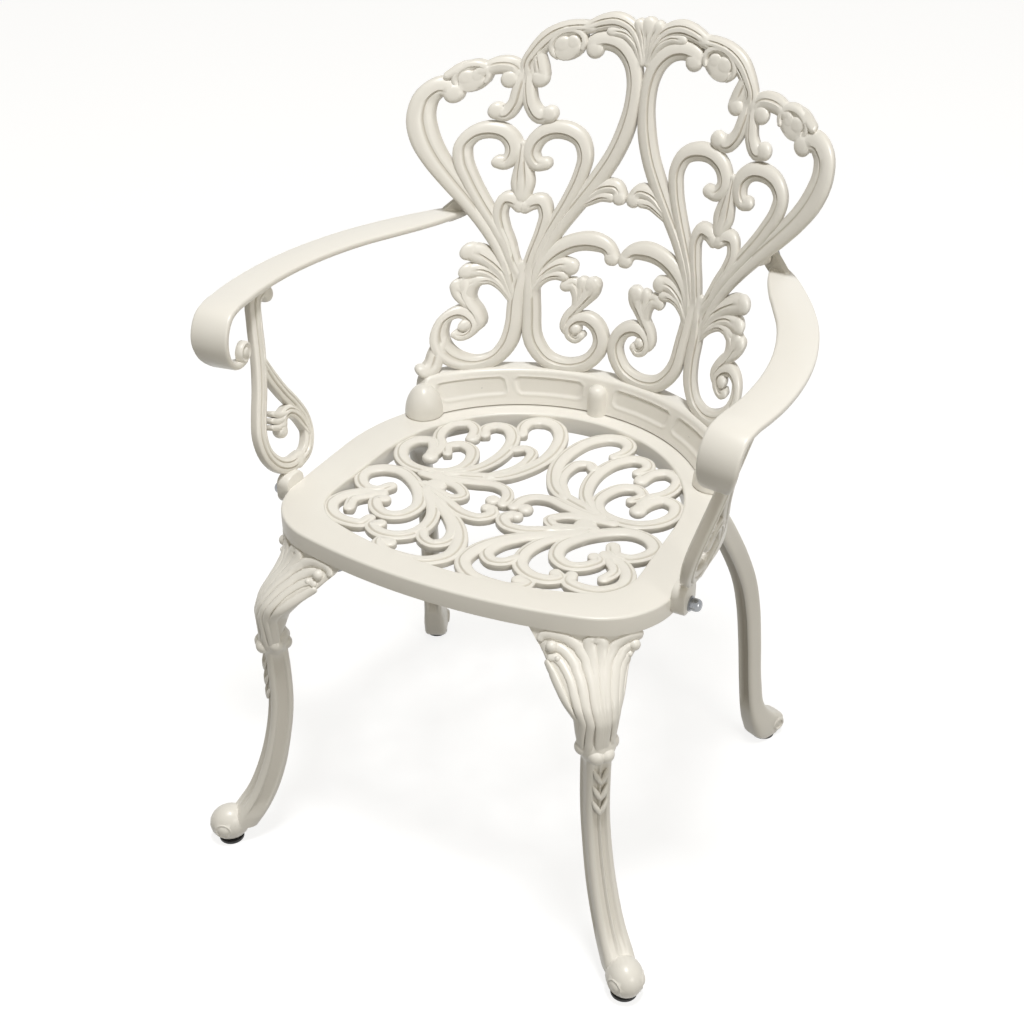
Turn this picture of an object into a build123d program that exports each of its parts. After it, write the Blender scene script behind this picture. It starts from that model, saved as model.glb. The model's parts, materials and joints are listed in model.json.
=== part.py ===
from build123d import *
from math import asin, degrees, radians, sin, cos, sqrt
import os

os.makedirs("parts", exist_ok=True)

# Cast garden armchair, all sizes in millimetres. It faces -Y and stands on the floor at Z 0.
# Pattern points are (across, along, half width), drawn for one half and mirrored; "along" is measured
# from the centre of the seat's round rear or from the top of the seat rim. Patterns stretch with the
# sizes they are drawn for, and their strands keep their widths.

# Seat casting
seat_height = 430.0
seat_centre_y = -24.6
seat_radius = 238.0
seat_front = 217.0
seat_front_bow = 42.0
seat_corner_radius = 75.0
rim_rear_width = 51.0
rim_side_width = 48.0
rim_front_width = 36.0
rim_inner_corner = 58.0
rim_depth = 22.0
rim_wall = 6.0
rim_edge = 3.0
grille_depth = 13.0
grille_drop = 2.5
boss_radius = 9.5

# Back casting, an openwork shell on an oblique cone
back_rise = 466.0
back_thickness = 14.0
back_inset = 27.0
back_top_arc = 523.0
back_lean = 112.0
shell_half_angle = 72.0
shell_margin = 12.0
rail_height = 45.0
rail_proud = 3.0
rail_thickness = 24.0
rail_half_angle = 58.0
rail_end_round = 14.0
panel_recess = 2.0
panel_low = 18.0
panel_high = 34.0
panel_corner = 5.0
panel_spans = ((19.0, 95.0), (106.0, 166.0))
end_boss_angle = 61.5
end_boss_radius = 21.0
end_boss_height = 45.0
end_boss_round = 17.0
middle_boss_radius = 17.0
middle_boss_height = 37.0
middle_boss_proud = 9.0
boss_round = 12.0

# Arms
arm_rise = 225.0
arm_thickness = 8.0
arm_half_width = 22.0
roll_inset = 0.5
support_stand = 7.0
support_lean = 54.0
support_thickness = 15.0
lug_length = 34.0
lug_reach = 14.0
lug_top = 24.0
lug_corner = 6.0
arm_bolt_along = -108.0
arm_bolt_drop = 11.0
tab_width = 26.0
tab_length = 28.0
tab_drop = 11.0
band_end_x = 17.6
band_end_along = -3.2
pad_radius = 9.5
pad_stand = 5.0

# Legs and feet
front_foot_out = 26.0
front_foot_ahead = 47.0
rear_top_inset = 19.5
rear_top_angle = 63.7
front_heading = (0.72, -0.694)
rear_heading = (0.4, 0.917)
collar_at = (-75.0, 11.0, 271.0)
collar_depth = 39.0
collar_width = 42.0
collar_height = 29.0
collar_round = 12.0
toe_at = (-1.0, 0.0, 25.0)
toe_radius = 23.0
toe_width = 34.0
toe_round = 9.0
flange_thickness = 8.0
flange_half_width = 13.0
ear_inset = 25.0
side_ear_behind = 95.0
front_ear_aside = 44.0
front_ear_inset = 30.0
rear_ear_spread = 28.0
groove_width = 13.0
groove_depth = 4.0
rear_corner = 6.0
glide_radius = 15.0
glide_height = 4.0
glide_pin_radius = 4.0
glide_pin_length = 12.0
glide_edge = 1.0
pin_gap = 1.0

# Fasteners
bolt_diameter = 8.0
bolt_clearance = 0.5
thread_clearance = 0.2
head_across = 13.0
head_height = 5.5
washer_radius = 8.5
washer_thickness = 1.6
thread_depth = 12.0
cap_radius = 7.0
cap_length = 11.0
cap_round = 5.0
back_bolt_angles = (-40.0, 0.0, 40.0)
back_bolt_inset = 17.0
bolt_end_gap = 1.0

# Sizes that the pattern and section tables are drawn for
drawn_radius = 238.0
drawn_opening = (190.0, 187.0, 181.0)
drawn_back_rise = 466.0
drawn_arm_rise = 225.0
drawn_leg_height = 404.0

seat_under = seat_height - rim_depth
back_bottom_arc = seat_radius - back_inset
back_reach = back_bottom_arc + back_lean + rail_thickness + shell_margin
arm_height = seat_height + arm_rise
wide = seat_radius / drawn_radius
seat_half_ratio = (seat_radius - rim_side_width) / drawn_opening[0]
seat_rear_ratio = (seat_radius - rim_rear_width) / drawn_opening[1]
seat_front_ratio = (seat_front - rim_front_width) / drawn_opening[2]
back_ratio = back_rise / drawn_back_rise
arm_ratio = arm_rise / drawn_arm_rise
leg_ratio = (seat_under - glide_height) / drawn_leg_height
seat_plane = Plane((0, seat_centre_y, seat_height))
under_plane = Plane((0, seat_centre_y, seat_under))


def stretched(points, across, along, ahead=None):
    # Pattern points moved from the drawn size to the real one; "ahead" is for points in front
    front = along if ahead is None else ahead
    return [(x * across, y * (along if y > 0 else front), half) for x, y, half in points]


def strand(points):
    # A tapering ribbon about a smooth line, with round ends
    middle = [Vector(x, y) for x, y, half in points]
    spine = Spline(*middle)
    left, right, headings = [], [], []
    for point, (x, y, half) in zip(middle, points):
        heading = spine.tangent_at(spine.param_at_point(point))
        across = Vector(-heading.Y, heading.X) * half
        left.append(point + across)
        right.append(point - across)
        headings.append(heading)
    with BuildSketch() as ribbon:
        with BuildLine():
            Spline(*left)
            ThreePointArc(left[-1], middle[-1] + headings[-1] * points[-1][2], right[-1])
            Spline(*reversed(right))
            ThreePointArc(right[0], middle[0] - headings[0] * points[0][2], left[0])
        make_face()
    return ribbon.sketch


def disc(x, y, radius):
    # A round end of a scroll
    with BuildSketch() as ball:
        with Locations((x, y)):
            Circle(radius)
    return ball.sketch


def horseshoe(radius, side, front, corner):
    # Round rear, straight sides and a bowed front with round corners
    shoulder = front - seat_front_bow
    with BuildSketch() as outline:
        with BuildLine():
            ThreePointArc((-radius, 0), (0, radius), (radius, 0))
            Line((radius, 0), (side, -shoulder))
            ThreePointArc((side, -shoulder), (0, -front), (-side, -shoulder))
            Line((-side, -shoulder), (-radius, 0))
        make_face()
        fillet(outline.vertices().group_by(Axis.Y)[0], corner)
    return outline.sketch


def back_arc(rise):
    # Radius of the sitter's face of the back at a height above the seat
    return back_bottom_arc + (back_top_arc - back_bottom_arc) * rise / back_rise


def back_centre(rise):
    # Distance of that arc's centre from the seat's centre
    return back_bottom_arc + back_lean * rise / back_rise - back_arc(rise)


def arc_band(rise, inner, outer, half_angle):
    # A slice through the back at one height, between two offsets from the sitter's face
    centre = (0, back_centre(rise))
    start = 90 - half_angle
    with BuildSketch(seat_plane.offset(rise)) as band:
        with BuildLine():
            near = CenterArc(centre, back_arc(rise) + inner, start, 2 * half_angle)
            far = CenterArc(centre, back_arc(rise) + outer, start, 2 * half_angle)
            Line(near @ 0, far @ 0)
            Line(near @ 1, far @ 1)
        make_face()
    return band.sketch.face()


# Ornament of the back, right half: (x, height above the seat rim, half width)
outer_stem = (
    (124, 135, 7), (133, 163, 8), (146, 188, 8.5), (164, 214, 9.5), (188, 243, 10.5),
    (211, 269, 11.5), (230, 293, 12.5), (244, 318, 14), (250, 342, 14), (246, 361, 13.5),
    (233, 371, 12), (221, 368, 10),
)
back_strands = (
    (
        (107, 168, 8), (101, 115, 9.5), (94, 76, 10.5), (74, 54, 9.5), (48, 49, 9), (23, 58, 10),
        (9.5, 85, 10.5), (19, 104, 9.5), (34, 108, 7), (45, 100, 6),
    ),
    ((53, 96, 6), (51, 110, 6), (44, 122, 7), (31, 138, 9), (26, 151, 9)),
    ((50, 112, 5), (44, 126, 5), (39, 140, 7), (42, 153, 7)),
    ((51, 112, 5), (45, 128, 6), (46, 142, 7), (54, 150, 8), (59, 150, 9)),
    (
        (117, 165, 8), (120, 125, 9.5), (119, 95, 10), (123, 72, 10.5), (135, 55, 10), (152, 50, 9),
        (170, 57, 8.5), (184, 74, 7), (189, 92, 7), (186, 106, 6.5), (177, 111, 6), (168, 104, 6),
    ),
    ((158, 96, 6), (167, 118, 6), (177, 136, 8), (176, 150, 8)),
    ((160, 100, 5), (171, 120, 6), (180, 136, 8), (183, 145, 8)),
    ((186, 76, 5), (188, 62, 6), (196, 53, 7)),
    ((101, 145, 8), (93, 170, 9), (78, 187, 11), (56, 199, 11), (32, 202, 11), (15, 197, 9), (8, 187, 9)),
    ((100, 138, 6), (93, 154, 8), (80, 166, 9), (66, 170, 10), (57, 169.5, 10)),
    (
        (113, 158, 7), (107, 185, 7), (100, 212, 7.5), (98, 230, 8), (105, 243, 9), (115, 241, 9),
        (122, 235, 7),
    ),
    (
        (120, 156, 7), (129, 172, 7), (137, 192, 7.5), (147, 212, 8), (151, 230, 8), (146, 244, 9),
        (136, 243, 9), (129, 236, 7),
    ),
    (
        (106, 160, 7), (97, 195, 8), (85, 222, 8), (72, 250, 8.5), (62, 278, 9), (59, 300, 9.5),
        (67, 318, 10), (84, 326, 10.5), (104, 325, 10.5), (120, 313, 10.5), (124, 297, 10), (115, 287, 8),
        (107, 287, 7),
    ),
    (
        (124, 158, 7), (135, 185, 8), (152, 212, 8), (172, 240, 8.5), (189, 267, 9), (200, 290, 10),
        (201, 305, 10), (191, 318, 10), (174, 323, 10), (156, 319, 10), (145.5, 307, 10.5),
        (145, 295, 9.5), (152, 287, 8), (158, 287, 7),
    ),
    (
        (103, 140, 8), (101, 165, 8), (91, 195, 9), (76, 222, 10), (57, 250, 10.5), (38, 279, 11),
        (23, 307, 11), (13, 337, 11), (9, 367, 9.5), (10, 392, 10), (17, 412, 11), (33, 427, 11.5),
        (52, 430, 11), (65, 424, 10), (62, 420, 10),
    ),
    ((55, 248, 6), (42, 259, 9), (26, 270, 11), (13, 269, 10), (8, 258, 9)),
    outer_stem,
    ((199, 392, 6), (214, 389, 7), (225, 384, 4)),
    ((148, 387, 9), (158, 393, 10), (174, 394, 10), (189, 388, 8)),
    (
        (138, 386, 12), (140, 398, 9), (132, 413, 10), (119, 428, 11), (103, 437, 10), (87, 440, 8),
        (70, 442, 7),
    ),
    ((133, 420, 8), (127, 402, 11), (129, 388, 12)),
    ((4, 415, 6), (10, 432, 8), (22, 446, 9), (40, 452, 10), (58, 449, 9), (73, 443, 7)),
    ((0, 420, 8), (0, 440, 9), (0, 456, 10)),
    ((4, 425, 6), (9, 442, 7), (14, 453, 6)),
    ((138, 388, 8), (135, 368, 8), (130, 352, 8.5), (119, 341, 9.5), (107, 343, 9)),
    ((144, 388, 8), (147, 368, 8), (150, 353, 8.5), (159, 342, 9.5), (169, 344, 9)),
    ((134, 308, 5), (132, 290, 7), (131, 270, 12), (129, 256, 13), (127, 246, 8)),
    ((126, 134, 7), (140, 160, 9), (158, 174, 9), (176, 179, 9), (181, 180, 8)),
    ((127, 130, 6), (143, 153, 8), (162, 161, 9), (177, 158, 9)),
)
back_discs = (
    (44, 93, 11), (166, 91, 10), (217, 364, 10.5), (199, 382, 19), (156, 380, 12),
    (95, 424, 20), (126, 384, 13), (62, 421, 11), (8, 186, 9.5), (8, 257, 9.5), (200, 51, 9),
)

# Ornament of the seat, right half: (x, distance from the seat's centre, half width)
seat_strands = (
    (
        (96, -1, 7), (64, 10, 8), (36, 24, 9), (18, 52, 9.5), (9, 84, 9.5), (10, 117, 9.5),
        (21, 150, 9.5), (39, 168, 10), (56, 169, 10), (68, 158, 9), (69, 142, 8), (62, 126, 7),
    ),
    ((50, 16, 7), (30, 46, 7), (26, 72, 7), (31, 91, 7.5), (42, 96, 7), (52, 88, 7)),
    (
        (94, 0, 7), (71, 26, 8), (61, 57, 9), (61, 90, 9), (70, 117, 9), (87, 133, 9), (102, 131, 8.5),
        (109, 117, 8), (102, 104, 7),
    ),
    (
        (112, 92, 9), (119, 111, 8), (132, 120, 8), (148, 113, 8), (154, 93, 8), (149, 72, 8),
        (138, 58, 8), (135, 40, 8),
    ),
    (
        (120, 42, 6), (128, 58, 7), (116, 70, 8), (101, 66, 8.5), (89, 47, 8.5), (87, 23, 8.5),
        (99, 3, 8.5), (122, -5, 8), (148, -2, 8.5), (168, 14, 9), (176, 37, 9), (168, 57, 9),
        (152, 61, 8.5), (141, 48, 8), (135, 29, 9),
    ),
    ((7, -30, 7.5), (9, -14, 7.5), (18, -2, 7), (34, 3, 7), (58, -3, 7), (85, -9, 7), (104, -8, 7)),
    ((98, -41, 7), (64, -57, 8), (36, -70, 8), (17, -69, 8), (7.5, -56, 8.5), (13, -46, 7)),
    ((122, -12, 7), (92, -15, 7), (65, -24, 7), (55, -37, 7), (65, -46, 7), (86, -41, 7), (108, -33, 7)),
    (
        (141, -55, 8), (150, -69, 8), (165, -70, 8), (179, -58, 8.5), (184, -39, 9), (172, -24, 9),
        (150, -19, 9), (122, -33, 9), (100, -57, 9), (90, -82, 9), (96, -102, 9), (113, -111, 9),
        (132, -102, 8.5), (139, -86, 8), (131, -83, 7),
    ),
    (
        (141, -74, 8), (163, -81, 8), (178, -98, 9), (181, -118, 9.5), (168, -136, 9), (146, -143, 9),
        (127, -138, 8.5), (125, -126, 7),
    ),
    ((150, -82, 7), (163, -100, 7), (158, -117, 7)),
    (
        (98, -46, 7), (79, -66, 8), (65, -89, 8.5), (61, -114, 9), (69, -135, 9), (88, -146, 9),
        (107, -144, 9), (116, -136, 8), (108, -130, 7),
    ),
    (
        (98, -44, 7), (58, -72, 8), (26, -99, 8.5), (9, -133, 9.5), (9, -153, 9.5), (26, -172, 9),
        (56, -178, 9), (82, -173, 8.5), (91, -160, 8), (79, -159, 8),
    ),
    (
        (82, -56, 7), (46, -84, 8), (27, -110, 8.5), (25, -129, 8.5), (37, -140, 8), (51, -135, 7.5),
        (58, -124, 7),
    ),
)
seat_discs = ((21, -28, 9), (19, -46, 7.5), (112, 90, 9), (135, 27, 10), (96, -30, 14), (104, -8, 10))

# Arm, right side: band from behind its rear end (out from the seat's radius, along), its rolled end
# (forward, up, half width) and its support (along, up the slope, half width)
arm_line = (
    (-2, 180), (19, 140), (37, 100), (50, 60), (59, 20), (64, -20), (65, -60), (63.5, -88), (60.5, -111),
)
arm_front = (57, -133)
roll_line = (
    (-30, -4.2, 3.5), (3, -4.5, 3.8), (19, -8, 4), (31, -21, 4), (35, -38, 4),
    (30, -55, 4), (17, -67, 4), (3, -70, 4), (-9, -66, 4),
)
roll_eye = (-10, -58, 8)
support_strands = (
    (
        (-62, 220, 8), (-80, 216, 9.5), (-91, 188, 10), (-101, 159, 10), (-110, 135, 10), (-121, 108, 9.5),
        (-137, 79, 9), (-139, 54, 9), (-124, 31, 9), (-104, 25, 9), (-82, 27, 9),
    ),
    ((-104, 136, 6), (-90, 106, 9), (-72, 80, 10), (-61, 46, 9.5), (-70, 24, 9), (-94, 22, 8)),
    ((-72, 84, 7), (-88, 91, 8), (-101, 82, 9), (-106, 68, 9)),
    ((-88, 89, 7), (-109, 86, 6), (-124, 82, 5)),
)
support_discs = ((-57, 212, 10), (-105, 61, 9.5))

# Leg sections from the top down: (along the heading from the foot, aside to the front, height, depth, width)
knee_sections = (
    (-116, 12, 408, 52, 116), (-96, 12, 372, 62, 76), (-78, 12, 335, 42, 44), (-73, 11, 298, 27, 33),
)
shank_sections = (
    (-75, 11, 298, 24, 26), (-77.5, 11, 255, 23, 24), (-76.5, 10, 200, 25, 24), (-70, 9, 155, 26, 25),
    (-59.5, 7, 111, 29, 26), (-44, 4, 70, 33, 28), (-27, 1, 40, 36, 30), (-16, 0, 24, 36, 30),
)
rear_sections = (
    (-143, 0, 408, 31, 28), (-118, 0, 369, 30, 26), (-92, 0, 324, 28, 25), (-69, 0, 273, 26, 24),
    (-58, 0, 232, 25, 24), (-48.5, 0, 174, 24, 24), (-39.5, 0, 106, 24, 24), (-30, 0, 61, 28, 26),
    (-17, 0, 38, 42, 30), (-5, 0, 24, 56, 32), (-3, 0, 12, 50, 32), (-3, 0, 4, 32, 30),
)



def around(radius, angle):
    # Place in plan at an angle from straight behind the seat's centre
    return radius * sin(radians(angle)), radius * cos(radians(angle))


def leg_plane(foot, heading, section):
    # Level plane through one section of a leg, turned to the way its foot points
    along, aside, height = section[:3]
    x = foot[0] + along * heading[0] + aside * heading[1]
    y = foot[1] + along * heading[1] - aside * heading[0]
    z = glide_height + (height - glide_height) * leg_ratio
    return Plane((x, y + seat_centre_y, z), x_dir=(*heading, 0), z_dir=(0, 0, 1))


# Feet and leg tops in plan; the rear legs meet the rim at its rear corners
front_foot = (seat_radius + front_foot_out, -seat_front - front_foot_ahead)
rear_meets = around(seat_radius - rear_top_inset, rear_top_angle)
rear_reach = rear_sections[0][0]
rear_foot = (rear_meets[0] - rear_reach * rear_heading[0], rear_meets[1] - rear_reach * rear_heading[1])
front_top = under_plane.to_local_coords(leg_plane(front_foot, front_heading, knee_sections[0]).origin)
rear_top = under_plane.to_local_coords(leg_plane(rear_foot, rear_heading, rear_sections[0]).origin)

# Bolt places in plan, from the seat's centre; the ears reach both ways from each leg's top
ear_radius = seat_radius - ear_inset
rear_ear_turn = degrees(asin(rear_ear_spread / ear_radius))
front_ears = (
    (ear_radius, front_top.Y + side_ear_behind),
    (front_top.X - front_ear_aside, front_ear_inset - seat_front),
)
rear_ears = [around(ear_radius, rear_top_angle + turn) for turn in (-rear_ear_turn, rear_ear_turn)]
right_leg_bolts = [*front_ears, *rear_ears]
leg_bolts_plan = right_leg_bolts + [(-x, y) for x, y in right_leg_bolts]
back_bolts_plan = [around(seat_radius - back_bolt_inset, angle) for angle in back_bolt_angles]
clear_radius = bolt_diameter / 2 + bolt_clearance
thread_radius = bolt_diameter / 2 + thread_clearance

# Seat: a hollow rim with the openwork cast inside it
rim_outer = horseshoe(seat_radius, seat_radius, seat_front, seat_corner_radius)
rim_inner = horseshoe(
    seat_radius - rim_rear_width,
    seat_radius - rim_side_width,
    seat_front - rim_front_width,
    rim_inner_corner,
)
pocket_outer = horseshoe(
    seat_radius - rim_wall, seat_radius - rim_wall, seat_front - rim_wall, seat_corner_radius - rim_wall
)
pocket_inner = horseshoe(
    seat_radius - rim_rear_width + rim_wall,
    seat_radius - rim_side_width + rim_wall,
    seat_front - rim_front_width + rim_wall,
    rim_inner_corner + rim_wall,
)
seat_ratios = (seat_half_ratio, seat_rear_ratio, seat_front_ratio)
seat_faces = [strand(stretched(points, *seat_ratios)) for points in seat_strands]
seat_faces += [disc(*ball) for ball in stretched(seat_discs, *seat_ratios)]

with BuildPart() as seat_frame:
    with BuildSketch(seat_plane):
        add(rim_outer)
        add(rim_inner, mode=Mode.SUBTRACT)
    extrude(amount=-rim_depth)
    fillet(seat_frame.edges().group_by(Axis.Z)[-1], rim_edge)
    with BuildSketch(under_plane):
        add(pocket_outer)
        add(pocket_inner, mode=Mode.SUBTRACT)
    extrude(amount=rim_depth - rim_wall, mode=Mode.SUBTRACT)
    with BuildSketch(under_plane):
        with Locations(*leg_bolts_plan, *back_bolts_plan):
            Circle(boss_radius)
        for side in (-1, 1):
            with Locations((side * (seat_radius - rim_side_width / 2), arm_bolt_along)):
                Rectangle(rim_side_width - rim_wall, 2 * boss_radius)
    extrude(amount=rim_depth - rim_wall)
    with BuildSketch(seat_plane.offset(-grille_drop)):
        add(seat_faces)
        mirror(about=Plane.YZ)
        add(pocket_inner, mode=Mode.INTERSECT)
    extrude(amount=-grille_depth)
    with BuildSketch(under_plane):
        with Locations(*leg_bolts_plan):
            Circle(thread_radius)
    extrude(amount=thread_depth, mode=Mode.SUBTRACT)
    with BuildSketch(under_plane):
        with Locations(*back_bolts_plan):
            Circle(clear_radius)
    extrude(amount=rim_depth, mode=Mode.SUBTRACT)
    for side in (-1, 1):
        bolt_line = Plane(
            (side * seat_radius, seat_centre_y + arm_bolt_along, seat_height - arm_bolt_drop),
            z_dir=(-side, 0, 0),
        )
        with BuildSketch(bolt_line):
            Circle(thread_radius)
        extrude(amount=2 * thread_depth, mode=Mode.SUBTRACT)

seat_frame.part.label = "seat_frame"
export_step(seat_frame.part, "parts/seat_frame.step")


def front_face(x, rise):
    # Point on the sitter's face of the back, and the level direction straight out of its rear
    arc = back_arc(rise)
    depth = sqrt(arc**2 - x**2)
    outward = Vector(x / arc, depth / arc, 0)
    return Vector(x, seat_centre_y + back_centre(rise) + depth, seat_height + rise), outward


def stem_x(rise):
    # Middle of the back's outer stem at a height above the seat
    stem = stretched(outer_stem, wide, back_ratio)
    for (x, low, _), (next_x, high, _) in zip(stem, stem[1:]):
        if low <= rise <= high:
            return x + (next_x - x) * (rise - low) / (high - low)
    return stem[-1][0]


# The arms bolt on behind the outer stems, a tab's drop above the bands
joint_rise = arm_rise + tab_drop
joint_point, joint_outward = front_face(stem_x(joint_rise), joint_rise)
joint_plane = Plane(
    joint_point + joint_outward * (back_thickness + pad_stand),
    x_dir=(-joint_outward.Y, joint_outward.X, 0),
    z_dir=joint_outward,
)
front_plane = Plane((0, seat_centre_y, seat_height), x_dir=(1, 0, 0), z_dir=(0, -1, 0))
rail_in = -rail_proud
rail_out = rail_thickness - rail_proud
rail_middle = back_bottom_arc + (rail_in + rail_out) / 2

# Sunk panels along the rail
with BuildPart() as rail_panels:
    with BuildSketch(front_plane):
        for start, stop in panel_spans:
            with Locations((wide * (start + stop) / 2, (panel_low + panel_high) / 2)):
                RectangleRounded(wide * (stop - start), panel_high - panel_low, panel_corner)
        mirror(about=Plane.YZ)
    extrude(amount=-back_reach)
    loft(
        [
            arc_band(0, rail_in - panel_recess, rail_in + panel_recess, rail_half_angle),
            arc_band(rail_height, rail_in - panel_recess, rail_in + panel_recess, rail_half_angle),
        ],
        ruled=True,
        mode=Mode.INTERSECT,
    )

# Domed bosses at the ends and the middle of the rail
with BuildPart() as rail_bosses:
    with BuildSketch(seat_plane):
        with PolarLocations(rail_middle, 2, 90 - end_boss_angle, 2 * end_boss_angle, endpoint=True):
            Circle(end_boss_radius)
    extrude(amount=end_boss_height)
    fillet(rail_bosses.edges().group_by(Axis.Z)[-1], end_boss_round)
    with BuildSketch(seat_plane):
        with Locations((0, back_bottom_arc - rail_proud - middle_boss_proud + middle_boss_radius)):
            Circle(middle_boss_radius)
    extrude(amount=middle_boss_height)
    fillet(rail_bosses.faces().sort_by(Axis.Y)[-1].edges().sort_by(Axis.Z)[-1], boss_round)

# Rail along the bottom of the back, its top rounded down at both ends
with BuildPart() as back_rail:
    loft(
        [
            arc_band(0, rail_in, rail_out, rail_half_angle),
            arc_band(rail_height, rail_in, rail_out, rail_half_angle),
        ],
        ruled=True,
    )
    fillet(back_rail.edges().group_by(Axis.Z)[-1].filter_by(GeomType.LINE), rail_end_round)

# Flat pads behind the outer stems, where the arms bolt on
with BuildPart() as arm_pads:
    with BuildSketch(joint_plane):
        Circle(pad_radius)
    extrude(amount=-(pad_stand + back_thickness / 2))
    mirror(about=Plane.YZ)

with BuildPart() as pad_threads:
    with BuildSketch(joint_plane):
        Circle(thread_radius)
    extrude(amount=-thread_depth)
    mirror(about=Plane.YZ)

# Back: openwork, rail, bosses and pads in one casting
back_faces = [strand(stretched(points, wide, back_ratio)) for points in back_strands]
back_faces += [disc(*ball) for ball in stretched(back_discs, wide, back_ratio)]

with BuildPart() as back_panel:
    with BuildSketch(front_plane):
        add(back_faces)
        mirror(about=Plane.YZ)
    extrude(amount=-back_reach)
    loft(
        [
            arc_band(0, 0, back_thickness, shell_half_angle),
            arc_band(back_rise + shell_margin, 0, back_thickness, shell_half_angle),
        ],
        ruled=True,
        mode=Mode.INTERSECT,
    )
    add(back_rail.part)
    add(rail_bosses.part)
    add(arm_pads.part)
    add(rail_panels.part, mode=Mode.SUBTRACT)
    add(pad_threads.part, mode=Mode.SUBTRACT)
    with BuildSketch(seat_plane):
        with Locations(*back_bolts_plan):
            Circle(thread_radius)
    extrude(amount=2 * thread_depth, mode=Mode.SUBTRACT)

back_panel.part.label = "back_panel"
export_step(back_panel.part, "parts/back_panel.step")

# Right arm: flat band with a rolled front end, pierced support, lug on the seat rim and tab behind the back
arm_plane = Plane((0, seat_centre_y, arm_height))
support_plane = Plane(
    (seat_radius + support_stand, seat_centre_y, seat_height),
    x_dir=(0, 1, 0),
    z_dir=(arm_rise, 0, -support_lean),
)
band_end = (joint_plane.origin.X + band_end_x, joint_plane.origin.Y - seat_centre_y + band_end_along)
band_points = [(*band_end, arm_half_width - 1)]
band_points += [(seat_radius + out, along, arm_half_width) for out, along in arm_line]
roll_from = Vector(seat_radius + arm_front[0], arm_front[1])
roll_heading = (roll_from - Vector(*band_points[-1][:2])).normalized()
roll_plane = Plane(
    (roll_from.X, roll_from.Y + seat_centre_y, arm_height),
    x_dir=roll_heading,
    z_dir=(roll_heading.Y, -roll_heading.X, 0),
)
lug_plane = Plane(
    (seat_radius, seat_centre_y + arm_bolt_along, seat_height), x_dir=(0, 1, 0), z_dir=(1, 0, 0)
)
lug_bolt_plane = Plane(
    (seat_radius + lug_reach, seat_centre_y + arm_bolt_along, seat_height - arm_bolt_drop), z_dir=(1, 0, 0)
)
support_faces = [strand(stretched(points, 1, arm_ratio)) for points in support_strands]
support_faces += [disc(*ball) for ball in stretched(support_discs, 1, arm_ratio)]

with BuildPart() as right_arm:
    with BuildSketch(arm_plane):
        add(strand(band_points))
    extrude(amount=-arm_thickness)
    with BuildSketch(roll_plane):
        add(strand(roll_line))
        add(disc(*roll_eye))
    extrude(amount=arm_half_width - roll_inset, both=True)
    with BuildSketch(support_plane):
        add(support_faces)
    extrude(amount=support_thickness / 2, both=True)
    with BuildSketch(lug_plane):
        with Locations((0, (lug_top - rim_depth) / 2)):
            RectangleRounded(lug_length, lug_top + rim_depth, lug_corner)
    extrude(amount=lug_reach)
    with BuildSketch(joint_plane):
        Circle(tab_width / 2)
        with Locations((-tab_length / 2, -tab_drop / 2)):
            Rectangle(tab_length, tab_drop + tab_width)
    extrude(amount=arm_thickness)
    with BuildSketch(lug_bolt_plane):
        Circle(clear_radius)
    extrude(amount=-lug_reach, mode=Mode.SUBTRACT)
    with BuildSketch(joint_plane):
        Circle(clear_radius)
    extrude(amount=arm_thickness, mode=Mode.SUBTRACT)

right_arm.part.label = "right_arm"
export_step(right_arm.part, "parts/right_arm.step")

with BuildPart() as left_arm:
    mirror(right_arm.part, about=Plane.YZ)

left_arm.part.label = "left_arm"
export_step(left_arm.part, "parts/left_arm.step")


front_sole = leg_plane(front_foot, front_heading, (*toe_at[:2], glide_height))
rear_sole = leg_plane(rear_foot, rear_heading, rear_sections[-1])
toe_centre = leg_plane(front_foot, front_heading, toe_at).origin
toe_plane = Plane(toe_centre, x_dir=(*front_heading, 0), z_dir=(-front_heading[1], front_heading[0], 0))


def stacked(sections):
    # A smooth body through level ellipses of the front leg
    with BuildPart() as body:
        for section in sections:
            with BuildSketch(leg_plane(front_foot, front_heading, section)):
                Ellipse(section[3] / 2, section[4] / 2)
        loft()
    return body.part


with BuildPart() as leg_collar:
    with BuildSketch(leg_plane(front_foot, front_heading, collar_at)):
        Ellipse(collar_depth / 2, collar_width / 2)
    extrude(amount=collar_height)
    fillet(leg_collar.edges().group_by(Axis.Z)[0] + leg_collar.edges().group_by(Axis.Z)[-1], collar_round)

# Front right leg: cabriole with a wide knee, a collar and a scrolled toe
with BuildPart() as front_right_leg:
    with BuildSketch(toe_plane):
        Circle(toe_radius)
    extrude(amount=toe_width / 2, both=True)
    fillet(front_right_leg.edges().filter_by(GeomType.CIRCLE), toe_round)
    with BuildSketch(front_sole):
        Circle(2 * toe_radius)
    extrude(amount=-toe_radius, mode=Mode.SUBTRACT)
    add(stacked(knee_sections))
    add(stacked(shank_sections))
    add(leg_collar.part)
    with BuildSketch(under_plane):
        for ear in front_ears:
            add(strand(((front_top.X, front_top.Y, flange_half_width), (*ear, flange_half_width))))
    extrude(amount=-flange_thickness)
    with BuildSketch(under_plane):
        with Locations(*front_ears):
            Circle(clear_radius)
    extrude(amount=-flange_thickness, mode=Mode.SUBTRACT)
    with BuildSketch(front_sole):
        Circle(glide_pin_radius + thread_clearance)
    extrude(amount=glide_pin_length + pin_gap, mode=Mode.SUBTRACT)

front_right_leg.part.label = "front_right_leg"
export_step(front_right_leg.part, "parts/front_right_leg.step")

# Rear right leg: sabre with a groove up its inner face
with BuildPart() as leg_groove:
    for section in rear_sections[1:-4]:
        groove_at = (section[0] - section[3] / 2, *section[1:3])
        with BuildSketch(leg_plane(rear_foot, rear_heading, groove_at)):
            Rectangle(2 * groove_depth, groove_width)
    loft()

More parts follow.
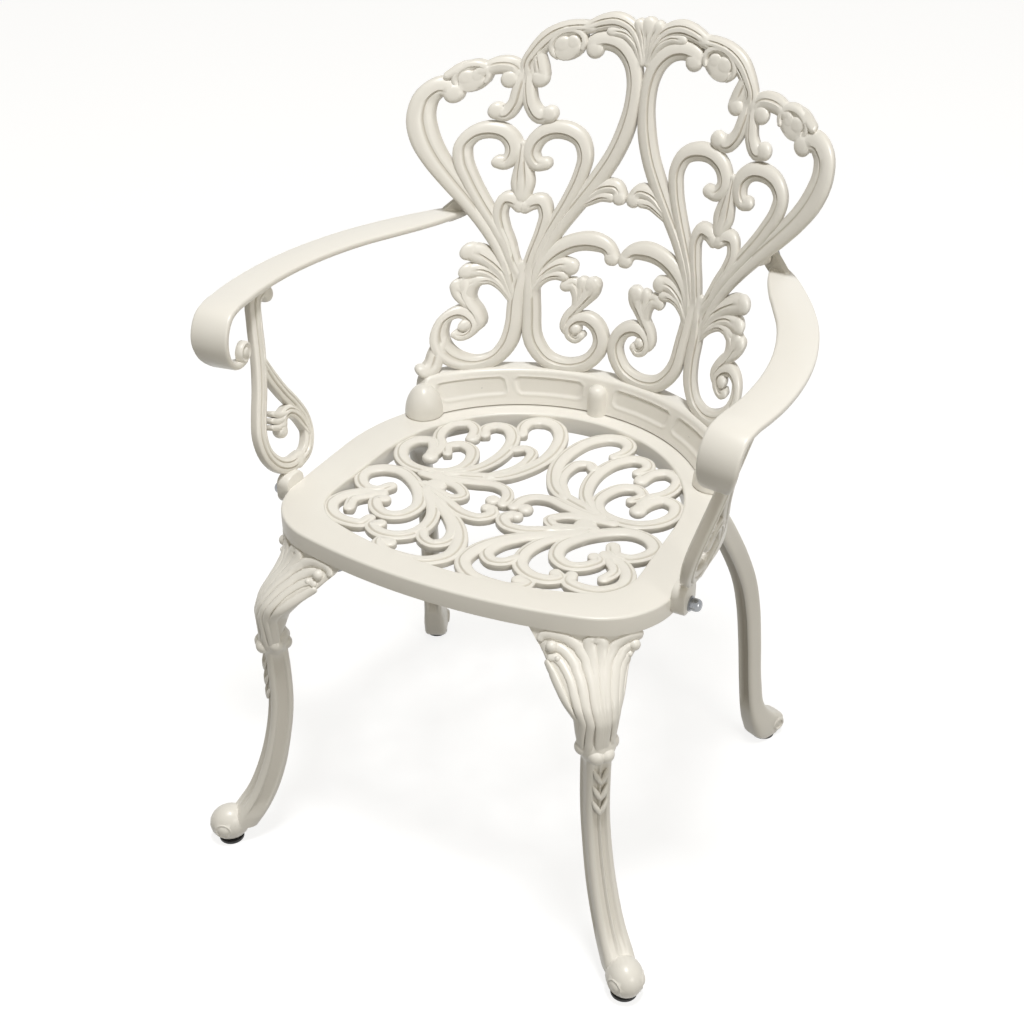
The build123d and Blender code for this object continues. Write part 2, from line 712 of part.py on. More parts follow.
with BuildPart() as rear_right_leg:
    for section in rear_sections:
        with BuildSketch(leg_plane(rear_foot, rear_heading, section)):
            RectangleRounded(section[3], section[4], rear_corner)
    loft()
    with BuildSketch(under_plane):
        for ear in rear_ears:
            add(strand(((rear_top.X, rear_top.Y, flange_half_width), (*ear, flange_half_width))))
    extrude(amount=-flange_thickness)
    add(leg_groove.part, mode=Mode.SUBTRACT)
    with BuildSketch(under_plane):
        with Locations(*rear_ears):
            Circle(clear_radius)
    extrude(amount=-flange_thickness, mode=Mode.SUBTRACT)
    with BuildSketch(rear_sole):
        Circle(glide_pin_radius + thread_clearance)
    extrude(amount=glide_pin_length + pin_gap, mode=Mode.SUBTRACT)

rear_right_leg.part.label = "rear_right_leg"
export_step(rear_right_leg.part, "parts/rear_right_leg.step")

with BuildPart() as front_left_leg:
    mirror(front_right_leg.part, about=Plane.YZ)

front_left_leg.part.label = "front_left_leg"
export_step(front_left_leg.part, "parts/front_left_leg.step")

with BuildPart() as rear_left_leg:
    mirror(rear_right_leg.part, about=Plane.YZ)

rear_left_leg.part.label = "rear_left_leg"
export_step(rear_left_leg.part, "parts/rear_left_leg.step")

# Foot glides: a disc under the sole and a pin pressed into it
with BuildPart() as front_right_glide:
    with BuildSketch(front_sole):
        Circle(glide_radius)
    extrude(amount=-glide_height)
    fillet(front_right_glide.edges().group_by(Axis.Z)[0], glide_edge)
    with BuildSketch(front_sole):
        Circle(glide_pin_radius)
    extrude(amount=glide_pin_length)

front_right_glide.part.label = "front_right_glide"
export_step(front_right_glide.part, "parts/front_right_glide.step")

with BuildPart() as rear_right_glide:
    with BuildSketch(rear_sole):
        Circle(glide_radius)
    extrude(amount=-glide_height)
    fillet(rear_right_glide.edges().group_by(Axis.Z)[0], glide_edge)
    with BuildSketch(rear_sole):
        Circle(glide_pin_radius)
    extrude(amount=glide_pin_length)

rear_right_glide.part.label = "rear_right_glide"
export_step(rear_right_glide.part, "parts/rear_right_glide.step")

with BuildPart() as front_left_glide:
    mirror(front_right_glide.part, about=Plane.YZ)

front_left_glide.part.label = "front_left_glide"
export_step(front_left_glide.part, "parts/front_left_glide.step")

with BuildPart() as rear_left_glide:
    mirror(rear_right_glide.part, about=Plane.YZ)

rear_left_glide.part.label = "rear_left_glide"
export_step(rear_left_glide.part, "parts/rear_left_glide.step")


def hex_bolt(face, length):
    # Bolt whose head bears on a washer lying on the face; the shank runs against the face's normal
    with BuildPart() as bolt:
        with BuildSketch(face.offset(washer_thickness)):
            RegularPolygon(head_across / 2, 6, major_radius=False)
        extrude(amount=head_height)
        with BuildSketch(face.offset(washer_thickness)):
            Circle(bolt_diameter / 2)
        extrude(amount=-washer_thickness - length)
    return bolt.part


def washer(face):
    with BuildPart() as ring:
        with BuildSketch(face):
            Circle(washer_radius)
            Circle(clear_radius, mode=Mode.SUBTRACT)
        extrude(amount=washer_thickness)
    return ring.part


def face_below(place, height):
    # Underside facing the floor at a place given from the seat's centre
    return Plane((place[0], seat_centre_y + place[1], height), z_dir=(0, 0, -1))


leg_bolt_faces = [face_below(place, seat_under - flange_thickness) for place in leg_bolts_plan]
back_bolt_faces = [face_below(place, seat_under) for place in back_bolts_plan]
arm_back_face = joint_plane.offset(arm_thickness)

with BuildPart() as leg_bolts:
    for face in leg_bolt_faces:
        add(hex_bolt(face, flange_thickness + thread_depth - bolt_end_gap))

leg_bolts.part.label = "leg_bolts"
export_step(leg_bolts.part, "parts/leg_bolts.step")

with BuildPart() as leg_washers:
    for face in leg_bolt_faces:
        add(washer(face))

leg_washers.part.label = "leg_washers"
export_step(leg_washers.part, "parts/leg_washers.step")

with BuildPart() as back_bolts:
    for face in back_bolt_faces:
        add(hex_bolt(face, rim_depth + 2 * thread_depth - bolt_end_gap))

back_bolts.part.label = "back_bolts"
export_step(back_bolts.part, "parts/back_bolts.step")

with BuildPart() as back_washers:
    for face in back_bolt_faces:
        add(washer(face))

back_washers.part.label = "back_washers"
export_step(back_washers.part, "parts/back_washers.step")

# Bolts that hold the arms: domed caps at the seat, hexagon heads behind the back
with BuildPart() as arm_seat_bolts:
    with BuildSketch(lug_bolt_plane.offset(washer_thickness)):
        Circle(cap_radius)
    extrude(amount=cap_length)
    fillet(arm_seat_bolts.edges().group_by(Axis.X)[-1], cap_round)
    with BuildSketch(lug_bolt_plane.offset(washer_thickness)):
        Circle(bolt_diameter / 2)
    extrude(amount=-washer_thickness - lug_reach - 2 * thread_depth + bolt_end_gap)
    mirror(about=Plane.YZ)

arm_seat_bolts.part.label = "arm_seat_bolts"
export_step(arm_seat_bolts.part, "parts/arm_seat_bolts.step")

with BuildPart() as arm_seat_washers:
    add(washer(lug_bolt_plane))
    mirror(about=Plane.YZ)

arm_seat_washers.part.label = "arm_seat_washers"
export_step(arm_seat_washers.part, "parts/arm_seat_washers.step")

with BuildPart() as arm_back_bolts:
    add(hex_bolt(arm_back_face, arm_thickness + thread_depth - bolt_end_gap))
    mirror(about=Plane.YZ)

arm_back_bolts.part.label = "arm_back_bolts"
export_step(arm_back_bolts.part, "parts/arm_back_bolts.step")

with BuildPart() as arm_back_washers:
    add(washer(arm_back_face))
    mirror(about=Plane.YZ)

arm_back_washers.part.label = "arm_back_washers"
export_step(arm_back_washers.part, "parts/arm_back_washers.step")
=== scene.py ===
import json
from math import atan2, cos, degrees, pi, radians, sin, sqrt

import bmesh
import bpy
from mathutils import Matrix, Vector

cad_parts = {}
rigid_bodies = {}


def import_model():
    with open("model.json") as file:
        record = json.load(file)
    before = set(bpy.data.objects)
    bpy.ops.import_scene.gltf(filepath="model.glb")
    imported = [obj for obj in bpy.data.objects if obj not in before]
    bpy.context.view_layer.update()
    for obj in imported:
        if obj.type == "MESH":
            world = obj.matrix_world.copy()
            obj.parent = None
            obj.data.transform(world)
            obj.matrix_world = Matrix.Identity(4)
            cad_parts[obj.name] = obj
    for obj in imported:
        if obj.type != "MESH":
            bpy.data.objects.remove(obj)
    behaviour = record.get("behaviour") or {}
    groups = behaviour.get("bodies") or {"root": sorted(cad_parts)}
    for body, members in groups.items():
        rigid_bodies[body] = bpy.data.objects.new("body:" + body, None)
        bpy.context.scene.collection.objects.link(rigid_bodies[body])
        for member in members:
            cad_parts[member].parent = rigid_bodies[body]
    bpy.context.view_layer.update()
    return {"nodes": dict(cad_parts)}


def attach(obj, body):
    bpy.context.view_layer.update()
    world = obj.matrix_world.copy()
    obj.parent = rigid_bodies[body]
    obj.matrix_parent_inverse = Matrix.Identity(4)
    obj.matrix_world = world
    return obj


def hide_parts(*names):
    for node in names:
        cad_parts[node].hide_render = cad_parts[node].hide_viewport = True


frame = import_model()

mm = 0.001
chair = {"seatTop": 430.0, "seatY": -24.6, "seatRadius": 238.0}


# Lines, sections and sweeps, in millimetres


def soft(t):
    # eases from 0 to 1
    t = min(1.0, max(0.0, t))
    return t * t * (3 - 2 * t)


def toMetres(spot):
    return spot * mm


def bend(radius, angles):
    # quarter round: how far in from one face and how far below the other
    return [(radius * (1 - cos(a)), radius * (1 - sin(a))) for a in angles]


def wayAt(line, i):
    return line[min(i + 1, len(line) - 1)] - line[max(i - 1, 0)]


def smoothLine(points, steps):
    # line through the points, the last value of each point rides along
    spots = [Vector(p) for p in points]
    size = len(spots[0]) - 1
    gaps = [max((b - a).resized(size).length, 0.01) for a, b in zip(spots, spots[1:])]
    slopes = [(spots[1] - spots[0]) / gaps[0]]
    for i in range(1, len(spots) - 1):
        before, after = gaps[i - 1], gaps[i]
        rise = (spots[i] - spots[i - 1]) * (after / before) + (spots[i + 1] - spots[i]) * (before / after)
        slopes.append(rise / (before + after))
    slopes.append((spots[-1] - spots[-2]) / gaps[-1])
    line = []
    for i, gap in enumerate(gaps):
        for k in range(steps):
            t = k / steps
            line.append(
                spots[i] * (1 + 2 * t) * (1 - t) ** 2
                + slopes[i] * gap * t * (1 - t) ** 2
                + spots[i + 1] * t * t * (3 - 2 * t)
                - slopes[i + 1] * gap * t * t * (1 - t)
            )
    line.append(spots[-1])
    return line


def emptyMesh():
    # every casting carries how much painted shade each of its points gets, darker in grooves, sunk panels and at
    # edges, for the paint
    bm = bmesh.new()
    bm.verts.layers.float.new("paintedShade")
    return bm


def sweep(rings, closed=False):
    # draws the first ring and extrudes it through the others; a fourth value in a ring point is its painted shade,
    # which darkens the paint there
    bm = emptyMesh()
    paintedShade = bm.verts.layers.float["paintedShade"]

    def settle(verts, ring):
        for vert, spot in zip(verts, ring):
            vert.co = spot[:3]
            vert[paintedShade] = spot[3] if len(spot) > 3 else 0.0

    loop = bmesh.ops.create_circle(bm, segments=len(rings[0]), radius=1)["verts"]
    edges = list(bm.edges)
    settle(loop, rings[0])
    if not closed:
        bmesh.ops.contextual_create(bm, geom=edges)
    for ring in rings[1:] + (rings[:1] if closed else []):
        grown = bmesh.ops.extrude_edge_only(bm, edges=edges)["geom"]
        fresh = {g for g in grown if isinstance(g, bmesh.types.BMVert)}
        edges = [
            g for g in grown if isinstance(g, bmesh.types.BMEdge) and g.verts[0] in fresh and g.verts[1] in fresh
        ]
        loop = [next(e.other_vert(v) for e in v.link_edges if e.other_vert(v) in fresh) for v in loop]
        settle(loop, ring)
    if closed:
        bmesh.ops.remove_doubles(bm, verts=bm.verts, dist=0.001)
    else:
        bmesh.ops.contextual_create(bm, geom=edges)
    bm.normal_update()
    bmesh.ops.recalc_face_normals(bm, faces=bm.faces)
    return bm


def placed(bm, place):
    for vert in bm.verts:
        vert.co = place(vert.co)
    bm.normal_update()
    bmesh.ops.recalc_face_normals(bm, faces=bm.faces)
    return bm


def moved(bm, size=(1, 1, 1), turn=Matrix.Identity(3), shift=(0, 0, 0)):
    bmesh.ops.scale(bm, vec=size, verts=bm.verts)
    bmesh.ops.rotate(bm, cent=(0, 0, 0), matrix=turn, verts=bm.verts)
    bmesh.ops.translate(bm, vec=shift, verts=bm.verts)
    return bm


def mirrored(bm):
    twin = moved(bm.copy(), (-1, 1, 1))
    bmesh.ops.reverse_faces(twin, faces=twin.faces)
    return twin


# bars of the castings: painted shade on their edges, and how their ends are rounded and their grooves run out
bar = {
    "edgeShade": 0.4, "widestGroove": 0.2, "rearFlat": 0.86,
    "endTurns": (86, 68, 50, 32, 15), "endFlat": 0.4, "runOut": 1.7, "runIn": 0.15, "rootDrop": 0.36,
}


def strandSection(half, form, ease):
    # across from -1 to 1, depth below the crown in mm, and how much painted shade the point gets, in its grooves,
    # towards its side walls and on its rear
    crown = min(form["crown"] * half, form["crownMost"])
    wide = min(form["grooveWide"] / half, bar["widestGroove"])
    grooves = form["grooves"]
    stops = [-1.0]
    for groove in grooves:
        stops += [groove - wide, groove, groove + wide]
    stops.append(1.0)
    front = []
    for i, (a, b) in enumerate(zip(stops, stops[1:])):
        first, last = i == 0, i == len(stops) - 2
        shares = (0, 0.05, 0.16, 0.36, 0.64) if first else (0, 0.36, 0.64, 0.84, 0.95) if last else (0, 0.5)
        if i % 3 in (1, 2) and not first and not last:
            shares = (0,)
        front += [a + (b - a) * share for share in shares]
    front.append(1.0)
    section = []
    for u in front:
        depth = crown * (1 - sqrt(max(0.0, 1 - u * u)))
        hollow = max((max(0.0, 1 - abs(u - g) / wide) for g in grooves), default=0.0) * ease
        beyond = max(((u - g if g > 0 else g - u) / wide for g in grooves), default=0.0)
        step = form["step"] * min(1.0, max(0.0, beyond)) * ease * min(1.0, (1 - abs(u)) * 4)
        # painted shade: darkest in the grooves, and growing towards the side walls
        shadeTint = max(hollow, bar["edgeShade"] * abs(u) ** 6)
        section.append((u, depth + hollow * form["grooveDeep"] + step, shadeTint))
    thick, back, flat = form["thick"], form["backCrown"], bar["rearFlat"]
    if form.get("double"):
        return section + [(u, thick - depth, paintedShade) for u, depth, paintedShade in reversed(section)]
    for u, lift in ((1, back), (flat, 0.25 * back), (-flat, 0.25 * back), (-1, back)):
        section.append((u, thick - lift, bar["edgeShade"]))
    return section


def strand(points, form, steps=4):
    # a moulded bar along a flat line, with round ends: x and y are flat, z is the depth
    line = smoothLine(points, steps)
    middle = form["thick"] / 2
    travelled = [0.0]
    for here, after in zip(line, line[1:]):
        travelled.append(travelled[-1] + (after - here).to_2d().length)
    stations = []
    for i, spot in enumerate(line):
        heading = wayAt(line, i).to_2d().normalized()
        left = (travelled[-1] - travelled[i]) / (bar["runOut"] * spot.z)
        ease = soft(min(left, bar["runIn"] + travelled[i] / spot.z))
        root = max(0.0, 1 - travelled[i] / form["root"]) if form["root"] else 0.0
        stations.append((spot.to_2d(), heading, spot.z, 1.0, 1 - bar["rootDrop"] * root * root, ease))

    def roundEnd(station, way):
        here, heading, half, _, tall, ease = station
        turns = [radians(a) for a in bar["endTurns"]]
        return [
            (here + heading * way * half * sin(a), heading, half, cos(a), tall * cos(a) ** bar["endFlat"], ease)
            for a in turns
        ]

    rings = []
    stations = roundEnd(stations[0], -1) + stations + roundEnd(stations[-1], 1)[::-1]
    for here, heading, half, shrink, tall, ease in stations:
        across = Vector((-heading.y, heading.x)) * half * shrink
        ring = []
        for u, depth, paintedShade in strandSection(half, form, ease):
            spot = here + across * u
            ring.append((spot.x, spot.y, middle + (depth - middle) * tall, paintedShade))
        rings.append(ring)
    return sweep(rings)


def ball(x, y, radius, depth, height, flat=2.8):
    # a flat-topped knob on a flat pattern, its middle at a depth
    bm = emptyMesh()
    bmesh.ops.create_uvsphere(bm, u_segments=22, v_segments=12, radius=1)
    placed(bm, lambda p: p * (p.to_2d().length ** flat + abs(p.z) ** flat) ** (-1 / flat))
    return moved(bm, (radius, radius, height), shift=(x, y, depth))


def turned(outline, centre, axis=(0, 0, 1), segments=32):
    # a turned shape: outline is (radius, place along the axis)
    bm = emptyMesh()
    verts = [bm.verts.new((r * mm, 0, z * mm)) for r, z in outline]
    edges = [bm.edges.new(pair) for pair in zip(verts, verts[1:])]
    bmesh.ops.spin(
        bm, geom=verts + edges, cent=(0, 0, 0), axis=(0, 0, 1), angle=2 * pi, steps=segments, use_merge=True
    )
    bmesh.ops.remove_doubles(bm, verts=bm.verts, dist=1e-6)
    bmesh.ops.holes_fill(bm, edges=bm.edges, sides=0)
    bmesh.ops.recalc_face_normals(bm, faces=bm.faces)
    return moved(bm, turn=Vector(axis).to_track_quat("Z", "Y").to_matrix(), shift=Vector(centre) * mm)


def disc(centre, axis, radius, start, stop, edge=0.8):
    # a turned disc along an axis, with softened rims
    soften = ((edge, 0), (0.3 * edge, 0.3 * edge), (0, edge))
    outline = [(radius - inset, start + rise) for inset, rise in soften]
    outline += [(radius - inset, stop - rise) for inset, rise in reversed(soften)]
    return turned([(0, start), *outline, (0, stop)], centre, axis, 28)


# Castings


def objectFrom(name, bm):
    mesh = bpy.data.meshes.new(name)
    bm.to_mesh(mesh)
    bm.free()
    return bpy.data.objects.new(name, mesh)


def fuse(name, shells, cuts=()):
    # joins closed shells into one casting, then takes the cuts out of it
    body = objectFrom(name, shells[0])
    bpy.context.scene.collection.objects.link(body)
    used = []
    for job, parts in (("UNION", shells[1:]), ("DIFFERENCE", cuts)):
        if not parts:
            continue
        store = bpy.data.collections.new(name + job)
        bpy.context.scene.collection.children.link(store)
        for i, part in enumerate(parts):
            store.objects.link(objectFrom(f"{name}_{job}_{i}", part))
        join = body.modifiers.new(job, "BOOLEAN")
        join.operation, join.solver = job, "MANIFOLD"
        join.operand_type, join.collection = "COLLECTION", store
        used.append(store)
    graph = bpy.context.evaluated_depsgraph_get()
    mesh = bpy.data.meshes.new_from_object(body.evaluated_get(graph), depsgraph=graph)
    body.modifiers.clear()
    body.data = mesh
    for store in used:
        for part in list(store.objects):
            bpy.data.meshes.remove(part.data)
        bpy.data.collections.remove(store)
    return body


def finishPiece(piece, node, sharp=40):
    mesh = piece.data
    mesh.materials.clear()
    mesh.materials.append(paint)
    mesh.polygons.foreach_set("use_smooth", [True] * len(mesh.polygons))
    mesh.set_sharp_from_angle(angle=radians(sharp))
    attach(piece, "root")
    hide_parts(node)
    mesh.calc_loop_triangles()
    print("made", piece.name, "triangles", len(mesh.loop_triangles))
    return piece


def finishPair(name, twinName, node, shells, cuts=()):
    # the right-hand casting and its mirror image
    piece = finishPiece(fuse(name, shells, cuts), node)
    mesh = piece.data.copy()
    mesh.transform(Matrix.Diagonal((-1, 1, 1, 1)))
    mesh.flip_normals()
    twin = bpy.data.objects.new(twinName, mesh)
    bpy.context.scene.collection.objects.link(twin)
    finishPiece(twin, node.replace("right", "left"))


# Finishes


class Shade:
    def __init__(self, tree, socket):
        self.tree, self.socket = tree, socket

    def maths(self, operation, left, right):
        return self.node("ShaderNodeMath", {"operation": operation}, {0: left, 1: right})

    def node(self, kind, settings, sockets, output=0):
        made = self.tree.nodes.new(kind)
        for key, value in settings.items():
            setattr(made, key, value)
        for key, value in sockets.items():
            if isinstance(value, Shade):
                self.tree.links.new(value.socket, made.inputs[key])
            else:
                made.inputs[key].default_value = value
        return Shade(self.tree, made.outputs[output])

    def __add__(self, other):
        return self.maths("ADD", self, other)

    def __radd__(self, other):
        return self.maths("ADD", other, self)

    def __sub__(self, other):
        return self.maths("SUBTRACT", self, other)

    def __mul__(self, other):
        return self.maths("MULTIPLY", self, other)


def newFinish(name):
    material = bpy.data.materials.new(name)
    material.use_nodes = True
    tree = material.node_tree
    return material, Shade(tree, None), tree.nodes["Principled BSDF"]


def feed(shader, name, value):
    value.tree.links.new(value.socket, shader.inputs[name])


def noise(tools, scale, detail):
    where = tools.node("ShaderNodeTexCoord", {}, {}, "Object")
    return tools.node("ShaderNodeTexNoise", {}, {"Vector": where, "Scale": scale, "Detail": detail}, "Fac")


def mixed(tools, factor, first, second, blend="MIX"):
    first, second = (value if isinstance(value, Shade) else (*value, 1) for value in (first, second))
    settings = {"data_type": "RGBA", "blend_type": blend}
    return tools.node("ShaderNodeMix", settings, {"Factor": factor, 6: first, 7: second}, 2)


def feedBump(tools, shader, strength, height):
    sockets = {"Strength": strength, "Distance": 1.0, "Height": height}
    feed(shader, "Normal", tools.node("ShaderNodeBump", {}, sockets))


# cream paint; the recess colour is painted shade, mixed in where the castings' points carry painted shade in grooves,
# sunk panels and at edges
creamPaint = {
    "colour": (0.80, 0.777, 0.724), "paintedShadeColour": (0.46, 0.42, 0.345), "paintedShadeStrength": 0.75,
    "cloudScale": 14.0, "cloudMiddle": 0.35, "cloudTint": 0.12, "cloudColour": (0.9, 0.87, 0.8),
    "roughness": 0.36, "cloudRough": 0.10, "recessRough": 0.12,
    "peelScale": 900.0, "peelHeight": 0.00006, "castScale": 120.0, "castHeight": 0.00012, "bump": 0.6,
    "set": {"Specular IOR Level": 0.45, "Coat Weight": 0.12, "Coat Roughness": 0.2},
}


def makeCreamPaint(s):
    material, tools, shader = newFinish("creamPaint")
    # the castings' painted shade darkens the cream and makes it a little rougher
    paintedShade = tools.node("ShaderNodeAttribute", {"attribute_name": "paintedShade"}, {}, "Fac")
    paintedShadeMask = tools.node("ShaderNodeMath", {"operation": "MULTIPLY", "use_clamp": True}, {0: paintedShade, 1: s["paintedShadeStrength"]})
    cloud = noise(tools, s["cloudScale"], 4.0)
    shadeTint = mixed(tools, paintedShadeMask, s["colour"], s["paintedShadeColour"])
    patches = (cloud - s["cloudMiddle"]) * s["cloudTint"]
    feed(shader, "Base Color", mixed(tools, patches, shadeTint, s["cloudColour"], "MULTIPLY"))
    feed(shader, "Roughness", s["roughness"] + (cloud - 0.5) * s["cloudRough"] + paintedShadeMask * s["recessRough"])
    peel, cast = noise(tools, s["peelScale"], 2.0), noise(tools, s["castScale"], 3.0)
    feedBump(tools, shader, s["bump"], peel * s["peelHeight"] + cast * s["castHeight"])
    for name, value in s["set"].items():
        shader.inputs[name].default_value = value
    return material


blackNylon = {
    "first": (0.012, 0.012, 0.013), "second": (0.03, 0.03, 0.03), "scale": 600.0, "detail": 3.0,
    "roughness": 0.55, "uneven": 0.25, "bump": 0.4, "bumpHeight": 0.0001, "metal": 0.0,
}
zincSteel = {
    "first": (0.26, 0.27, 0.29), "second": (0.40, 0.41, 0.42), "scale": 260.0, "detail": 4.0,
    "roughness": 0.28, "uneven": 0.3, "bump": 0.3, "bumpHeight": 0.00008, "metal": 1.0,
}


def makeGrained(name, s):
    # two colours and a roughness that follow one grain
    material, tools, shader = newFinish(name)
    grain = noise(tools, s["scale"], s["detail"])
    feed(shader, "Base Color", mixed(tools, grain, s["first"], s["second"]))
    feed(shader, "Roughness", s["roughness"] + (grain - 0.5) * s["uneven"])
    feedBump(tools, shader, s["bump"], grain * s["bumpHeight"])
    shader.inputs["Metallic"].default_value = s["metal"]
    return material


paint = makeCreamPaint(creamPaint)
nylon = makeGrained("blackNylon", blackNylon)
steel = makeGrained("zincSteel", zincSteel)
print("finishes ready")


# Back


backShell = {"rise": 466.0, "lowArc": 211.0, "highArc": 523.0, "lean": 112.0}
scroll = {
    "thick": 14.0, "crown": 0.62, "crownMost": 6.4, "backCrown": 2.5,
    "grooves": (0.3,), "grooveWide": 1.6, "grooveDeep": 2.3, "step": 1.2, "root": 26.0,
}
plain = dict(scroll, grooves=())
leaf = dict(scroll, grooves=(-0.32, 0.36), grooveWide=1.4, grooveDeep=2.0, step=0.4)
otherSide = dict(scroll, grooves=(-0.3,))
lobe = dict(scroll, grooves=(0.15,), crown=0.7, step=0.5)
otherLobe = dict(lobe, grooves=(-0.15,))
cartoucheRim = dict(plain, thick=13.0, crown=0.9)
backStrands = (
    # lower scrolls beside the middle, with their leaves
    (otherSide, (
        (107, 168, 8), (101, 115, 9.5), (94, 76, 10.5), (74, 54, 9.5), (48, 49, 9), (23, 58, 10),
        (9.5, 85, 10.5), (19, 104, 9.5), (33, 110, 8.5), (46, 106, 7), (52, 97, 6), (49, 87, 5.5),
        (41, 84, 5), (35, 89, 4.5),
    )),
    (scroll, ((50, 88, 4), (57, 97, 6.5), (54, 110, 7.5), (46, 121, 7), (37, 134, 9.5), (30, 145, 11), (28, 151, 10))),
    (lobe, ((48, 116, 5), (43, 130, 6), (41, 141, 8), (42, 152, 8))),
    (scroll, ((49, 114, 5), (46, 128, 6), (47, 140, 8), (54, 149, 8.5), (62, 147, 7.5))),
    # lower scrolls at the sides
    (scroll, (
        (117, 165, 8), (120, 125, 9.5), (119, 95, 10), (123, 72, 10.5), (135, 55, 10), (152, 50, 9),
        (174, 57, 8.5), (190, 74, 8), (195, 92, 7.5), (191, 107, 7), (179, 113, 7.5), (167, 107, 6.5),
        (161, 98, 6), (163, 88, 5.5), (171, 84, 5), (178, 88, 4.5),
    )),
    (otherSide, ((163, 88, 4), (156.5, 97, 6.5), (161, 110, 7), (170, 122, 7), (176, 134, 9), (178, 146, 9))),
    (lobe, ((164, 114, 5), (174, 126, 7), (182, 137, 8.5), (185, 144, 8))),
    (otherSide, ((168, 120, 5), (172, 132, 7), (170, 144, 8), (163, 149, 7))),
    # arches over the lower scrolls and the leaves inside them
    (scroll, ((101, 145, 8), (93, 170, 9), (78, 187, 11), (56, 199, 11), (32, 202, 11), (15, 197, 9), (8, 187, 9))),
    (otherLobe, ((101, 136, 5), (95, 152, 7), (84, 164, 8.5), (70, 171, 9.5), (59, 170, 9))),
    (lobe, ((103, 134, 4), (96, 146, 5), (87, 155, 6), (76, 159, 6.5), (66, 158, 6.5))),
    # small hearts
    (otherSide, (
        (113, 158, 7), (107, 185, 7), (100, 212, 7.5), (98, 230, 8), (105, 243, 9), (115, 241, 9),
        (122, 235, 7),
    )),
    (scroll, (
        (120, 156, 7), (129, 172, 7), (137, 192, 7.5), (147, 212, 8), (151, 230, 8), (146, 244, 9),
        (136, 243, 9), (129, 236, 7),
    )),
    # tall hearts with their hooks
    (otherSide, (
        (106, 160, 7), (97, 195, 8), (85, 222, 8), (72, 250, 8.5), (62, 278, 9), (59, 300, 9.5),
        (67, 318, 10), (84, 326, 10.5), (104, 325, 10.5), (120, 313, 10.5), (124, 297, 10), (115, 286, 8.5),
        (105, 287, 7.5),
    )),
    (scroll, (
        (124, 158, 7), (135, 185, 8), (152, 212, 8), (172, 240, 8.5), (189, 267, 9), (200, 290, 10),
        (201, 305, 10), (191, 318, 10), (174, 323, 10), (156, 319, 10), (145.5, 307, 10.5),
        (145, 295, 10), (152, 286, 8.5), (160, 287, 7.5),
    )),
    # middle stems up to the crest
    (otherSide, (
        (103, 140, 8), (101, 165, 8), (91, 195, 9), (76, 222, 10), (57, 250, 10.5), (38, 279, 11),
        (23, 307, 11), (13, 337, 11), (9, 367, 9.5), (10, 392, 10), (17, 412, 11), (33, 427, 11.5),
        (52, 430, 11), (65, 424, 10), (62, 420, 9),
    )),
    (otherLobe, ((58, 244, 5), (46, 256, 7.5), (30, 267, 9.5), (15, 268, 9), (8, 258, 8.5))),
    (lobe, ((56, 243, 4), (45, 250, 5.5), (31, 257, 6.5), (20, 257, 6))),
    # outer stems
    (scroll, (
        (124, 135, 7), (133, 163, 8), (146, 188, 8.5), (164, 214, 9.5), (188, 243, 10.5),
        (211, 269, 11.5), (230, 293, 12.5), (244, 318, 14), (250, 342, 14), (246, 361, 13.5),
        (233, 371, 12), (221, 368, 10),
    )),
    # crest
    (plain, ((196, 396, 5), (212, 392, 7), (226, 384, 5))),
    (scroll, ((146, 386, 9), (156, 394, 10), (174, 395, 10), (190, 389, 8))),
    (leaf, (
        (138, 386, 12), (140, 398, 9), (132, 413, 10), (119, 428, 11), (103, 438, 9), (87, 442, 8),
        (70, 443, 7),
    )),
    (lobe, ((132, 419, 6), (128, 406, 8), (124, 394, 9), (121, 387, 8))),
    (leaf, ((4, 412, 6), (10, 431, 8), (22, 446, 9), (40, 452, 10), (58, 449, 9), (73, 443, 7))),
    (lobe, ((6, 414, 4), (14, 430, 6), (28, 440, 6.5), (44, 441, 6.5))),
    (lobe, ((3, 420, 5), (6, 438, 6), (12, 451, 7))),
    (scroll, ((138, 388, 8), (135, 368, 8), (130, 352, 8.5), (119, 341, 9.5), (107, 343, 9))),
    (otherSide, ((144, 388, 8), (147, 368, 8), (150, 353, 8.5), (159, 342, 9.5), (169, 344, 9))),
    # bud and side leaves
    (leaf, ((134, 308, 4), (132.5, 292, 7), (131, 275, 12), (129.5, 261, 13.5), (128, 250, 10))),
    (lobe, ((125, 130, 5), (138, 157, 8), (155, 172, 10), (172, 181, 11), (177, 182, 10))),
    (lobe, ((126, 128, 4), (141, 149, 7), (159, 160, 9), (175, 160, 9.5))),
    (otherLobe, ((126, 126, 3), (138, 142, 5), (151, 150, 6), (163, 149, 6))),
)
# x, height, radius, how far it stands proud
backBalls = (
    (43, 96, 7, 1.0), (170, 97, 7.5, 1.0), (217, 364, 11.5, 0.6), (158, 381, 10.5, 0.6),
    (123, 383, 10.5, 0.6), (62, 420, 11, 0.6), (9.5, 187, 9, 0.5), (9.5, 258, 9, 0.5),
    (107, 344, 10, 0.4), (169, 345, 10, 0.4), (30, 151, 10, 0.2), (59, 169, 9.5, 0.2), (178, 183, 10.5, 0.2),
    (177, 160, 9.5, 0.2), (122, 237, 7.5, 0.2), (130, 238, 7.5, 0.2),
    # behind the places where many strands meet
    (112, 148, 9, -4.0), (118, 148, 9, -4.0), (104, 140, 8, -4.0), (124, 140, 8, -4.0), (60, 247, 8, -4.0),
    (140, 391, 10, -3.0), (6, 418, 9, -4.0),
)
finial = ((0, 424, 4), (0, 438, 7.5), (0, 450, 11))
# oval cartouches: x, height, long and short half size, tilt
cartouches = ((200, 382, 23.0, 18.5, -20.0), (95, 423, 25.0, 20.0, -24.0))
